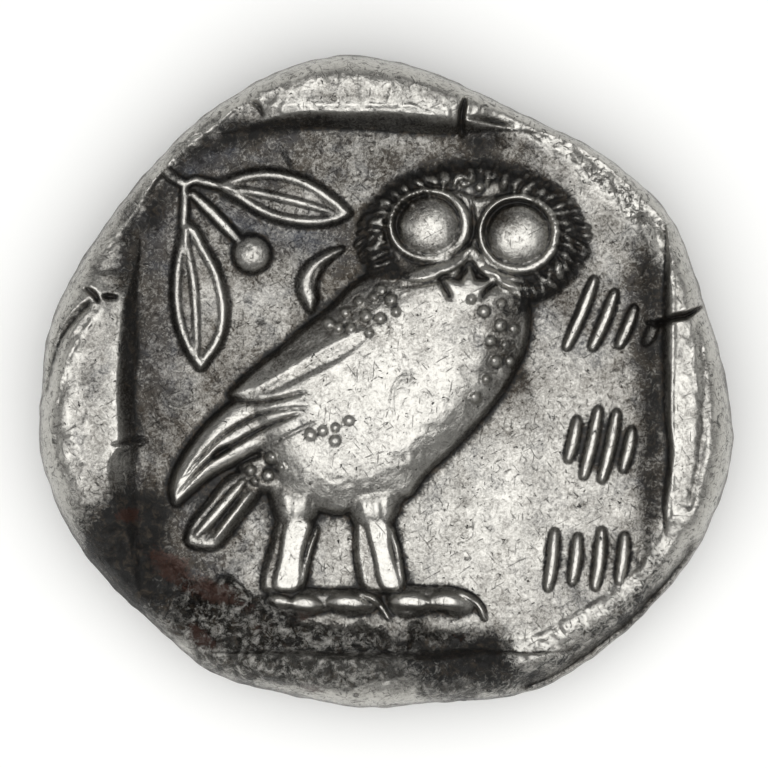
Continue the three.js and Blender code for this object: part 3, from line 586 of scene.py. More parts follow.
def crescent(relief):
    outer = [(-1.55, 4.8), (-2.3, 4.62), (-2.9, 4.2), (-3.2, 3.55), (-3.08, 3.0), (-2.72, 2.5)]
    inner = [(-2.5, 2.95), (-2.55, 3.5), (-2.2, 4.2)]
    relief.plate(outer + inner, 0.34, 0.26)
    relief.cut([(-2.1, 4.4), (-2.55, 4.0), (-2.75, 3.3)], 0.14, 0.1)


# Rows of parallel strokes that aren't letters: the first stroke's middle, the step, the lean and half lengths.
STROKE_ROWS = [
    ((7.0, 2.45), (0.84, -0.24), (0.38, 0.92), (1.3, 1.05, 0.7, 0.35)),
    ((6.72, -2.1), (0.66, -0.12), (0.22, 0.98), (0.7, 1.2, 1.2, 0.7)),
    ((5.95, -6.45), (0.85, 0.02), (0.12, 0.99), (1.0, 0.8, 1.0, 0.8)),
]


def stroke_rows(relief, sizes):
    for (x, y), (step_x, step_y), (lean_x, lean_y), halves in STROKE_ROWS:
        for k, half in enumerate(halves):
            mx, my = x + k * step_x, y + k * step_y
            relief.stroke([(mx - lean_x * half, my - lean_y * half), (mx + 0.04, my), (mx + lean_x * half, my + lean_y * half)],
                          0.42, sizes.stroke_rise / MM, taper=0.75, flat=0.4)


def field_marks(relief):
    """Scratches, a faint ring and small knocks in the open field."""
    relief.stroke([(-8.15, -0.3), (-7.95, -0.8), (-7.6, -0.97), (-7.05, -0.85)], 0.1, 0.06)
    relief.stroke([(-8.5, -1.3), (-7.9, -1.9)], 0.12, 0.06)
    relief.ring((0.9, -4.9, 0.66, 0.66), (0.9, -4.9, 0.54, 0.54), -0.04, bevel=0.05)
    relief.cut([(-3.85, 8.55), (-3.4, 7.7)], 0.2, 0.12)
    relief.cut([(-4.7, 2.15), (-4.35, 2.1)], 0.22, 0.1)
    relief.cut([(-4.15, 2.3), (-3.8, 2.15)], 0.18, 0.08)
    relief.cut([(-5.0, 1.6), (-4.3, 1.75), (-4.0, 2.0)], 0.1, 0.05)
    relief.cut([(-8.2, -2.6), (-7.8, -2.0)], 0.1, 0.04)
    relief.z += relief.noise(2.2, 11) * 0.014 + relief.noise(0.7, 12) * 0.006
    relief.z += relief.swirl(0.22, 13) * 0.005


# Burrs and ridges of the rim, each as its path, width, lift, how brightly it is rubbed and how broken it is.
BURRS = [
    ([(4.9, 9.3), (5.9, 8.6), (7, 8), (7.8, 7.5)], 0.4, 0.08, 0.8, 0.3),
    ([(7.4, 7.6), (8.5, 6.8), (9.1, 6.1), (9.7, 5.2), (9.9, 4.6)], 0.95, 0.07, 0.8, 0.4),
    ([(-4.4, 10.3), (-5.5, 9.83), (-6.17, 9.23), (-7.1, 8.57), (-7.5, 8.17), (-8.1, 7.63), (-8.57, 6.97), (-8.83, 6.5),
      (-9.23, 5.9), (-9.83, 5.17), (-10.3, 4.6)], 0.2, 0.12, 0.5, 0.2),
    ([(10.3, -5.0), (10.0, -5.9), (9.5, -6.75), (8.6, -7.6), (7.3, -8.5), (5.8, -9.3), (4.2, -9.8)], 0.8, 0.1, 0.8, 0.3),
    ([(-10.3, 2.6), (-11.3, 1.2), (-11.9, -0.4), (-12.1, -1.5), (-11.85, -3), (-11.2, -4.3)], 0.24, 0.1, 0.4, 0.0),
    ([(-2.0, -10.0), (-0.4, -10.1), (1.2, -10.05)], 0.7, 0.06, 0.7, 0.1),
    ([(10.3, 5.0), (10.34, 2.5), (10.28, -1.0), (10.34, -5.2)], 0.14, 0.09, 0.3, 0.0),
    ([(-4.4, 9.95), (-2, 9.98), (0.5, 9.95), (2.5, 9.85)], 0.16, 0.05, 0.5, 0.0),
    ([(-6.5, 8.98), (-3, 9.02), (1.5, 8.98)], 0.1, 0.04, 0.25, 0.0),
]


def rim_marks(relief):
    """Cracks, folds, burrs and hammered hollows of the rim."""
    relief.cut([(9.4, 2.12), (9.9, 2.1), (10.35, 2.3), (10.8, 2.38), (11.2, 2.6), (11.7, 2.85)], 0.3, 0.9, taper=0.35)
    relief.cut([(2.72, 8.9), (2.7, 9.6), (2.85, 10.25)], 0.34, 0.6, taper=0.4)
    relief.cut([(2.8, 9.55), (3.6, 9.45), (4.6, 9.2)], 0.2, 0.25)
    relief.cut([(-10.85, 3.35), (-10.6, 3.2), (-10.4, 2.9)], 0.24, 0.45, taper=0.6)
    relief.cut([(-10.2, 3.08), (-9.75, 3.04)], 0.22, 0.4, taper=0.6)
    relief.cut([(-5.0, 10.15), (-4.65, 9.95), (-4.45, 9.6)], 0.24, 0.3)
    relief.cut([(-10.7, 2.9), (-11.5, 2.0), (-12.0, 0.9), (-12.3, -0.5)], 0.5, 0.4, taper=0.4)
    relief.cut([(11.15, 2.2), (11.35, 1.0), (11.45, -0.8), (11.3, -2.8), (10.9, -4.6)], 0.5, 0.16, taper=0.5)
    relief.cut([(-9.9, -2.25), (-9.4, -2.2), (-8.75, -2.0)], 0.2, 0.2)
    relief.stroke([(-9.8, -2.4), (-9.2, -2.35), (-8.6, -2.1)], 0.18, 0.12, taper=0.4)
    torn = 1 + 0.3 * relief.noise(0.2, 44)
    before = relief.z.copy()
    for path, width, lift, *_ in BURRS:
        relief.stroke(path, width, lift, taper=0.4, flat=0.3)
    relief.z = before + (relief.z - before) * np.clip(torn, 0.2, 2)
    relief.ledge([(4.0, -10.4), (5.8, -9.8), (7.4, -8.8), (8.8, -7.7), (9.7, -6.8), (10.3, -5.8), (10.7, -4.8)], 0.6, 0.8)
    for k in range(5):
        x, y = -8.3 + 0.62 * k, 6.4 + 0.5 * k
        relief.cut([(x, y), (x + 0.35, y + 0.5), (x + 0.9, y + 0.9)], 0.12, 0.05)
    hollows = [(-10.9, 0.6, 0.4), (-10.5, -2.4, 0.5), (-11.2, -1.0, 0.35), (-10.2, -3.6, 0.4), (10.4, 3.2, 0.45),
               (11.0, 1.6, 0.4), (-2.6, 10.35, 0.4), (0.9, 10.5, 0.5), (10.7, -3.6, 0.4), (-0.4, 10.9, 0.3)]
    for x, y, radius in hollows:
        relief.dent(x, y, radius, 0.05)
    direction = np.degrees(np.arctan2(relief.y, relief.x))
    inset = around(OUTLINE, direction) - np.hypot(relief.x, relief.y)
    hammered = 0.035 * relief.noise(0.8, 45) + 0.02 * relief.swirl(0.25, 46)
    relief.z += hammered * step_up(2.4, 1.2, inset)


CRUST = [(-9.4, -4.8), (-8.5, -5.9), (-7.2, -6.6), (-5.9, -7.15), (-4.6, -7.7), (-3.4, -8.35), (-1, -8.75), (1, -8.9),
         (3, -9.25), (4.3, -9.5), (3.9, -10.9), (1, -11.4), (-3, -11), (-7, -9.9), (-10, -7.6), (-10.9, -5.8)]


def crust(relief):
    """Lumpy corrosion that has grown over the lower left of the field and the rim."""
    outline = smooth_path(CRUST, closed=True)
    part = relief.near(outline, 0.6)
    cover = step_up(-0.3, 0.35, relief.inside(part, outline) + 0.3 * relief.noise(0.8, 21)[part])
    lumps = 0.07 + 0.05 * relief.noise(0.9, 22)[part] + 0.035 * relief.noise(0.35, 23)[part]
    relief.z[part] += cover * (lumps + 0.03 * relief.swirl(0.2, 24)[part])
    mask = np.zeros_like(relief.z)
    mask[part] = cover
    return mask


def owl_side(sizes):
    """The relief of the owl side, and the masks that its silver reads."""
    relief = Relief(sizes.lattice / MM)
    owl_head(relief, sizes)
    owl_body(relief, sizes)
    owl_tail(relief)
    rump(relief)
    owl_wing(relief, sizes)
    owl_legs(relief, sizes)
    owl_feet(relief)
    face_disc(relief, sizes)
    head_feathers(relief)
    small_feathers(relief)
    olive_spray(relief, sizes)
    crescent(relief)
    stroke_rows(relief, sizes)
    figures = relief.z.copy()
    field_marks(relief)
    covered = crust(relief)
    rim_marks(relief)
    relief.z = relief.blur(relief.z, 0.035)
    return relief, owl_masks(relief, figures, covered, sizes)


# Soft ovals of tone on the owl side, partly rubbed polish and toning and partly painted shade: the darker ovals on the
# eyeballs' upper left, on the breast's slope, along the body's lower right edge and beside the punch's walls are
# painted shade. Each is x, y, half width, half height, lean in degrees, and how much is added.
POLISH_AND_PAINTED_SHADE = [
    (4.0, -4.5, 5.0, 3.6, 30, 0.42), (-1.9, -6.2, 1.6, 1.4, 0, 0.2), (6.2, 0.5, 1.6, 2.6, 0, 0.12),
    (-4.5, 3.0, 1.1, 0.8, 20, 0.3), (-5.0, -5.5, 1.3, 1.6, 20, 0.05), (-3.5, 8.2, 5, 1.0, 0, -0.22),
    (-8.6, 3, 0.9, 5, 0, -0.2), (9.4, 0, 0.6, 5.5, 0, -0.3), (8.2, 5.6, 1.6, 1.6, 0, 0.12), (-0.5, 0, 4, 2.6, 40, 0.28),
    (-5.8, 5.8, 3.2, 1.6, -40, -0.14), (-2.0, 4.6, 1.6, 1.6, 0, -0.1), (-8.4, -3, 1.0, 3, 0, -0.12),
    (6.2, 9.0, 3.2, 0.6, -32, -0.1), (-8.6, -2.8, 0.9, 1.2, 0, 0.12), (-5.0, -5.0, 1.2, 1.2, 0, -0.12),
    (3.9, 1.2, 0.9, 1.6, 15, -0.35), (3.0, -1.8, 2.2, 0.5, 48, -0.25), (1.0, 6.15, 0.5, 0.45, 40, -0.45),
    (4.2, 5.9, 0.5, 0.45, 40, -0.45), (2.3, 4.2, 0.9, 0.2, 25, 0.5), (3.7, 4.0, 0.7, 0.2, -40, 0.5),
    (4.9, 3.4, 0.8, 0.2, -8, 0.4), (2.9, 3.2, 0.5, 0.5, 0, 0.4), (-9.4, -3.4, 0.4, 1.0, 0, 0.35),
    (9.0, 3.4, 1.0, 1.2, 0, -0.15), (3.5, -7.4, 2.5, 0.8, 10, 0.1), (-3.2, 6.5, 1.2, 0.3, -12, 0.2),
    (-6.8, 2.6, 0.5, 1.8, 0, 0.2), (7.4, 4.6, 0.8, 0.8, 0, -0.1),
]
# Ovals of brown toning, each as x, y, half width, half height, lean in degrees and amount; the two on the eyeballs'
# upper left are painted shade as well as toning.
BROWNS = [
    (-0.8, 2.5, 1.4, 0.9, -40, 1.0), (-5.2, -1.0, 3.0, 0.8, 38, 0.7), (-4.4, -3.2, 1, 0.7, 0, 0.6),
    (3.9, 0.8, 0.6, 1.8, 15, 0.5), (-3.2, 1.0, 2.6, 0.6, 35, 0.5), (0, 4.2, 1, 0.8, 0, 0.6), (-6, 0.6, 2, 1, 0, 0.25),
    (-3.9, -5.9, 0.4, 1.2, -10, 0.7), (-0.9, -6.2, 0.3, 1.2, 0, 0.7), (1.2, 6.1, 0.9, 0.7, 40, 0.7),
    (4.3, 5.8, 0.9, 0.7, 40, 0.7), (0.9, 3.4, 0.8, 0.3, 0, 0.7),
]
BLUES = [
    (-6.6, 7.95, 1.0, 0.4, 20, 0.9), (-5.3, 5.7, 1.0, 0.5, -30, 0.8), (-3.0, 5.15, 1.0, 0.5, 0, 0.8),
    (-8.3, 5.2, 0.5, 1.4, 0, 0.5), (-8.0, 1.0, 0.8, 2.0, 0, 0.4), (6.2, 2.0, 0.6, 0.8, 0, 0.4),
]
# Dark ovals, each as x, y, half width, half height, lean in degrees and amount: black deposits in the lower left and
# along the bottom, and painted shade beside the punch's walls, beside the lower right ledge, at the breast's far edge
# and between parts of the face.
BLACK_DEPOSITS_AND_PAINTED_SHADE = [
    (-9.6, -6.2, 1.3, 1.7, 30, 1.1), (2.5, -10.2, 2.0, 0.8, -8, 1.0), (-8.4, -7.6, 1.6, 1.2, -30, 0.5),
    (4.9, 2.7, 0.5, 0.35, 0, 0.8), (9.65, -1.4, 0.36, 4.4, 0, 0.62), (9.5, 3.6, 0.4, 1.2, 0, 0.35), (-8.8, -4.8, 0.8, 0.8, 0, 0.8),
    (3.6, 8.6, 0.9, 0.35, 0, 0.7), (-4.5, 9.3, 1.6, 0.3, 0, 0.6), (3.6, -9.6, 0.6, 0.5, 0, 0.9),
    (-8.3, 6.1, 0.35, 0.8, -20, 0.8), (-9.2, 2.0, 0.34, 4.2, 0, 0.7),
    (-7.4, 7.7, 0.9, 0.25, 45, 0.5), (-5.4, 8.75, 1.4, 0.3, 12, 0.7), (0.5, 4.3, 0.5, 0.25, 30, 0.5),
    (9.2, 4.9, 0.5, 0.4, 0, 0.3), (9.1, -7.6, 0.5, 1.6, -45, 0.45),
    (6.9, -9.5, 1.9, 0.4, 28, 0.45), (4.7, 0.6, 0.35, 1.6, 18, 0.45),
]
RUSTS = [
    (-7.8, -6.6, 1.2, 0.5, -30, 0.8), (-6.0, -7.7, 1.3, 0.4, -20, 0.8), (-7, -9.2, 1.1, 0.5, -30, 0.7),
    (-9.3, -4.8, 0.5, 0.3, 0, 0.7), (-3, -8.5, 0.6, 0.3, 0, 0.6), (2.8, -9.2, 0.6, 0.25, 0, 0.6),
    (-2.6, -11.1, 0.8, 0.25, -8, 0.6), (-4.6, -8.9, 0.5, 0.3, 0, 0.5),
]


def add_spots(relief, spots):
    return sum(amount * relief.spot(x, y, rx, ry, lean) for x, y, rx, ry, lean, amount in spots)


def owl_masks(relief, figures, covered, sizes):
    """How rubbed, grimy, brown, blue, crusted, black and rusty the silver is, each from 0 to 1; the rubbed, brown and
    black masks also carry painted shade.
    """
    direction = np.degrees(np.arctan2(relief.y, relief.x))
    inset = around(OUTLINE, direction) - np.hypot(relief.x, relief.y)
    total = flan_top(inset, direction, relief, relief.x, relief.y, sizes)
    patchy = relief.noise(1.6, 31) * 0.06 + relief.noise(0.5, 32) * 0.05
    proud = step_up(0.02, 0.2, total - relief.blur(total, 0.55))
    crests = step_up(0.03, 0.1, total - relief.blur(total, 0.2))
    high = step_up(0.3, 0.75, figures)
    rim = step_up(0.5, 0.85, total - relief.z - sizes.field / MM)
    # Rubbed silver on high spots, crests and rim, with painted shade from the darker tone ovals.
    rubbed = 0.26 + add_spots(relief, POLISH_AND_PAINTED_SHADE) + patchy + 0.4 * proud + 0.28 * high + 0.12 * rim + 0.3 * crests
    crusted = covered.copy()
    for path, width, _, shine, broken in BURRS:
        along = smooth_path(path)
        part = relief.near(along, width)
        band = np.exp2(-((relief.to_path(part, along)[0] / (0.45 * width)) ** 2))
        rubbed[part] += shine * band
        crusted[part] = np.maximum(crusted[part], broken * band)
    crease = relief.blur(total, 0.1) - total
    hollow = relief.blur(total, 0.42) - total
    grime = 0.9 * step_up(0.01, 0.06, crease) + 0.75 * step_up(0.03, 0.24, hollow)
    x, y = relief.x - HEAD[0], relief.y - HEAD[1]
    hood = np.hypot(x / 3.95, (y + 0.1) / 2.8)
    fringe = step_up(1.12, 0.98, hood) * step_up(0.76, 0.86, np.hypot(x / 3.9, y / 2.45)) * (y > -2.5 + 0.9 * (x < 1.7))
    ribs = step_up(0.01, 0.06, total - relief.blur(total, 0.12))
    # Dark mask: black deposits and painted shade from the dark ovals, and painted shade over the feather fringe round
    # the face, lighter on its ribs; the rubbed mask is lowered where it lies.
    shade = add_spots(relief, BLACK_DEPOSITS_AND_PAINTED_SHADE) + 0.75 * fringe * (1 - 0.5 * ribs)
    torn = 0.5 + 0.25 * relief.noise(0.6, 33)
    return {
        "rubbed": np.clip(rubbed - 0.5 * shade, 0, 1),
        "grime": np.clip((grime + patchy) * step_up(-0.2, 0.5, inset), 0, 1),
        "brown": np.clip(add_spots(relief, BROWNS) * (0.7 + 2 * patchy), 0, 1),
        "blue": np.clip(add_spots(relief, BLUES) * (0.7 + 2 * patchy), 0, 1),
        "crust": crusted,
        "black": np.clip(shade + 0.1 * relief.noise(0.5, 34) * (shade > 0.15), 0, 1),
        "rust": np.clip(step_up(0.2, 0.9, add_spots(relief, RUSTS) * (0.6 + torn)), 0, 1),
        "edge": step_up(1.6, 0.5, inset),
    }


# ---- The head side ----
def head_side(sizes):
    """The relief of the head side, laid out as seen from below with the head facing right, and its masks."""
    relief = Relief(sizes.lattice / MM)
    cheek = sizes.cheek_rise / MM
    neck = [(2.9, -4), (2.2, -6), (3, -8), (-0.6, -8.9), (-4, -8.1), (-3.4, -5.8), (-3.8, -3.6), (0, -3)]
    relief.plate(neck, cheek * 0.5, 1.6)
    face = [(4.6, 3.3), (4.9, 1.9), (6.25, -0.45), (5.5, -1.05), (5.8, -1.65), (5.35, -2), (5.65, -2.4), (5.25, -2.9),
            (5.45, -3.8), (4.4, -4.6), (1.6, -4.9), (-2.2, -4.7), (-4.6, -3.2), (-5, 0), (-2, 2.6), (1.6, 3.9)]
    relief.plate(face, cheek, 2.6)
    bowl = [(5.1, 2.6), (4.3, 4.9), (1.8, 6.7), (-1.6, 6.9), (-4.9, 5.3), (-6.8, 2.2), (-7, -1.4), (-8, -3.9),
            (-6, -3.9), (-4.7, -1.4), (-3, 0.9), (-0.4, 1.9), (2.6, 2.1)]
    relief.plate(bowl, cheek * 1.02, 1.7)
    helmet_crest(relief)
    face_forms(relief)
    relief.z += relief.noise(2.0, 51) * 0.02 + relief.noise(0.6, 52) * 0.008
    relief.z = relief.blur(relief.z, 0.04)
    patchy = relief.noise(1.5, 53) * 0.07
    worn = step_up(0.9, 1.3, relief.z)
    sunk = relief.blur(relief.z, 0.4) - relief.z
    return relief, {
        "rubbed": np.clip(0.4 + 0.5 * worn + patchy, 0, 1),
        "grime": np.clip(step_up(0.02, 0.2, sunk) + patchy, 0, 1),
        "brown": np.clip(0.3 + 2 * patchy, 0, 1),
        **{name: np.zeros_like(patchy) for name in ("blue", "crust", "black", "rust", "edge")},
    }


def helmet_crest(relief):
    """A raised band over the helmet, and a comb of short strokes outside it."""
    def on_arc(radius, turn):
        return -0.9 + radius * math.cos(math.radians(turn)), -0.2 + radius * math.sin(math.radians(turn))

    relief.stroke([on_arc(7.9, 38 + 15 * k) for k in range(11)], 0.6, 0.5, taper=0.6)
    relief.stroke([on_arc(7.35, 38 + 15 * k) for k in range(11)], 0.25, 0.2, taper=0.6)
    for k in range(30):
        turn = 40 + 5 * k
        relief.stroke([on_arc(8.3, turn), on_arc(9, turn + 1.5), on_arc(9.7, turn + 4)], 0.34, 0.3)


def face_forms(relief):
    """Lids and eye, lips, locks under the helmet's edge, an ear-ring and a string of beads."""
    relief.stroke([(3, 0.95), (3.9, 1.25), (4.75, 0.85)], 0.3, 0.3)
    relief.stroke([(3, 0.85), (3.9, 0.35), (4.7, 0.7)], 0.26, 0.24)
    relief.pellet(3.95, 0.8, 0.3, 0.2)
    relief.cut([(5.5, -2.02), (4.9, -2.05), (4.4, -2.15)], 0.24, 0.2)
    relief.cut([(5.3, -0.75), (4.8, -0.7), (4.55, -0.95)], 0.24, 0.16)
    relief.cut([(4.9, 1.9), (3.4, 1.85), (1.8, 1.5), (0, 1.2), (-2.2, 0.5), (-3.6, -0.9), (-4.4, -2.6)], 0.3, 0.24)
    for k in range(9):
        x, y = 4.3 - 0.85 * k, 1.55 - 0.06 * k * k
        relief.stroke([(x + 0.4, y - 0.05), (x, y - 0.55), (x - 0.5, y - 0.25)], 0.3, 0.2)
    relief.ball(-1.9, -2.4, 0.6, 1.7, foot=0.9)
    for k in range(10):
        t = k / 9
        relief.pellet(2.1 - 5.4 * t, -6.5 - 0.9 * math.sin(math.pi * t), 0.27, 0.24)


# ---- The struck lump ----
def flan_top(inset, direction, relief, x, y, sizes):
    """Height of the owl side in millimetres, with its relief, where the edge is inset away."""
    roll = around(ROLL, direction)
    rise = around(RIM_RISE, direction)
    crest = sizes.field / MM + rise
    belly = sizes.belly / MM
    turn = np.clip(1 - inset / roll, 0, 1)
    rounded = belly + (crest - belly) * np.sqrt(np.clip(1 - turn**2.8, 0, 1))
    dished = rounded - 0.2 * np.clip(rise, 0, 1) * step_up(0, 2.4, inset - roll)
    base = np.minimum(dished, sizes.field / MM + square_floor(relief, x, y))
    return base + relief.sample(relief.z, x, y) * step_up(0.0, 0.25, inset)


def flan_under(inset, relief, x, y, sizes):
    """Height of the head side in millimetres; what stands lower than the table is worn off."""
    belly, field = sizes.belly / MM, sizes.under_field / MM
    turn = np.clip(1 - inset / 1.5, 0, 1)
    rounded = belly - (belly - field - 0.25) * np.sqrt(np.clip(1 - turn**2, 0, 1))
    flat = rounded - 0.25 * step_up(0, 4, inset - 1.5)
    return np.clip(flat - relief.sample(relief.z, -x, y) * step_up(0.1, 0.8, inset), 0, None)


def edge_radius(degrees):
    """The flan's radius with the small raggedness of a hammered edge."""
    turn = np.radians(degrees)
    ragged = np.sin(23 * turn + 1) + np.sin(41 * turn + 2) + 0.7 * np.sin(67 * turn) + 0.5 * np.sin(97 * turn + 4)
    return around(OUTLINE, degrees) + 0.013 * ragged


def disc_grid(count):
    """Share of the radius and direction in radians of a square grid pressed into a round disc."""
    line = np.linspace(-1, 1, count + 1)
    u, v = np.meshgrid(line, line, indexing="ij")
    x, y = u * np.sqrt(1 - v * v / 2), v * np.sqrt(1 - u * u / 2)
    return np.hypot(x, y), np.arctan2(y, x)


def edge_loop(count):
    """The numbers of the points round a square grid, anticlockwise from its low corner."""
    number = np.arange((count + 1) ** 2).reshape(count + 1, count + 1)
    return np.concatenate([number[:-1, 0], number[-1, :-1], number[:0:-1, -1], number[0, :0:-1]])


def grid_quads(count):
    number = np.arange((count + 1) ** 2).reshape(count + 1, count + 1)
    corners = number[:-1, :-1], number[1:, :-1], number[1:, 1:], number[:-1, 1:]
    return np.stack([c.ravel() for c in corners], axis=1)


EDGE_SHARE = 0.87  # share of the grid's radius where the rounded shoulder of the edge begins


def face_points(count, roll, height):
    """Places of one face's grid in millimetres; the outer rings follow the rounded shoulder by its angle."""
    share, direction = disc_grid(count)
    degrees = np.degrees(direction)
    radius = edge_radius(degrees)
    width = roll(degrees)
    lift = np.clip((1 - share) / (1 - EDGE_SHARE), 0, 1) * math.pi / 2
    inset = np.where(share < EDGE_SHARE, radius - share / EDGE_SHARE * (radius - width), width * (1 - np.cos(lift)))
    x = (radius - inset) * np.cos(direction)
    y = (radius - inset) * np.sin(direction)
    return np.stack([x, y, height(inset, degrees, x, y)], axis=-1).reshape(-1, 3)


def struck_mesh(owl, head, sizes):
    """A closed mesh of both faces, in metres: a fine grid above, a coarser one below, joined along the belly."""
    fine, coarse = 440, 220
    top = face_points(fine, lambda d: around(ROLL, d), lambda i, d, x, y: flan_top(i, d, owl, x, y, sizes))
    under = face_points(coarse, lambda d: np.full_like(d, 1.5), lambda i, d, x, y: flan_under(i, head, x, y, sizes))
    top_edge, under_edge = edge_loop(fine), edge_loop(coarse)
    top[top_edge, 2] = sizes.belly / MM
    kept = np.ones(len(under), bool)
    kept[under_edge] = False
    renumber = np.cumsum(kept) - 1 + len(top)
    renumber[under_edge] = top_edge[::2]
    midway = dict(zip(zip(top_edge[::2], np.roll(top_edge[::2], -1)), top_edge[1::2]))
    faces = grid_quads(fine).tolist()
    for face in renumber[grid_quads(coarse)][:, ::-1].tolist():
        ring = []
        for a, b in zip(face, face[1:] + face[:1]):
            ring.append(a)
            between = midway.get((b, a))
            if between is not None:
                ring.append(int(between))
        faces.append(ring)
    mesh = bpy.data.meshes.new("coin_silver")
    mesh.from_pydata(np.vstack([top, under[kept]]) * MM, [], faces)
    return mesh


# ---- Nodes ----
def add_node(tree, kind, sockets=None, **settings):
    """Adds a node; sockets maps an input's name or number to a value or to the output that feeds it."""
    node = tree.nodes.new(kind)
    for name, value in settings.items():
        setattr(node, name, value)
    for key, value in (sockets or {}).items():
        if isinstance(value, bpy.types.NodeSocket):
            tree.links.new(value, node.inputs[key])
        else:
            node.inputs[key].default_value = value
    return node


def grain_tree(material):
    """Geometry Nodes that roughen the struck surface: fine grain all over, and lumps where crust has grown."""
    tree = bpy.data.node_groups.new("Surface grain", "GeometryNodeTree")
    face = tree.interface
    face.new_socket("Geometry", in_out="INPUT", socket_type="NodeSocketGeometry")
    for name, value in [("Grain size", 0.22), ("Grain depth", 0.008), ("Lump size", 0.3), ("Lump depth", 0.05), ("Seed", 3.0)]:
        face.new_socket(name, in_out="INPUT", socket_type="NodeSocketFloat").default_value = value
    face.new_socket("Geometry", in_out="OUTPUT", socket_type="NodeSocketGeometry")
    given = add_node(tree, "NodeGroupInput").outputs
    place = add_node(tree, "ShaderNodeVectorMath", {0: add_node(tree, "GeometryNodeInputPosition").outputs[0],
                                                    1: (1 / MM,) * 3}, operation="MULTIPLY").outputs[0]

    def roughness(size, depth):
        scale = add_node(tree, "ShaderNodeMath", {0: 1.0, 1: given[size]}, operation="DIVIDE").outputs[0]
        noise = add_node(tree, "ShaderNodeTexNoise", {"Vector": place, "W": given["Seed"], "Scale": scale, "Detail": 3.0},
                         noise_dimensions="4D").outputs[0]
        centred = add_node(tree, "ShaderNodeMath", {0: noise, 1: 0.5}, operation="SUBTRACT").outputs[0]
        return add_node(tree, "ShaderNodeMath", {0: centred, 1: given[depth]}, operation="MULTIPLY").outputs[0]

    crusted = add_node(tree, "GeometryNodeInputNamedAttribute", {"Name": "crust"}, data_type="FLOAT").outputs[0]
    lumps = add_node(tree, "ShaderNodeMath", {0: roughness("Lump size", "Lump depth"), 1: crusted},
                     operation="MULTIPLY").outputs[0]
    both = add_node(tree, "ShaderNodeMath", {0: roughness("Grain size", "Grain depth"), 1: lumps},
                    operation="ADD").outputs[0]
    loose = add_node(tree, "GeometryNodeInputNamedAttribute", {"Name": "loose"}, data_type="FLOAT").outputs[0]
    metres = add_node(tree, "ShaderNodeMath", {0: both, 1: 2 * MM}, operation="MULTIPLY").outputs[0]
    held = add_node(tree, "ShaderNodeMath", {0: metres, 1: loose}, operation="MULTIPLY").outputs[0]
    push = add_node(tree, "ShaderNodeVectorMath", {0: add_node(tree, "GeometryNodeInputNormal").outputs[0],
                                                   "Scale": held}, operation="SCALE").outputs[0]
    moved = add_node(tree, "GeometryNodeSetPosition", {"Geometry": given["Geometry"], "Offset": push})
    real = add_node(tree, "GeometryNodeRealizeInstances", {"Geometry": moved.outputs[0]})
    dressed = add_node(tree, "GeometryNodeSetMaterial", {"Geometry": real.outputs[0], "Material": material})
    add_node(tree, "NodeGroupOutput", {"Geometry": dressed.outputs[0]})
    return tree


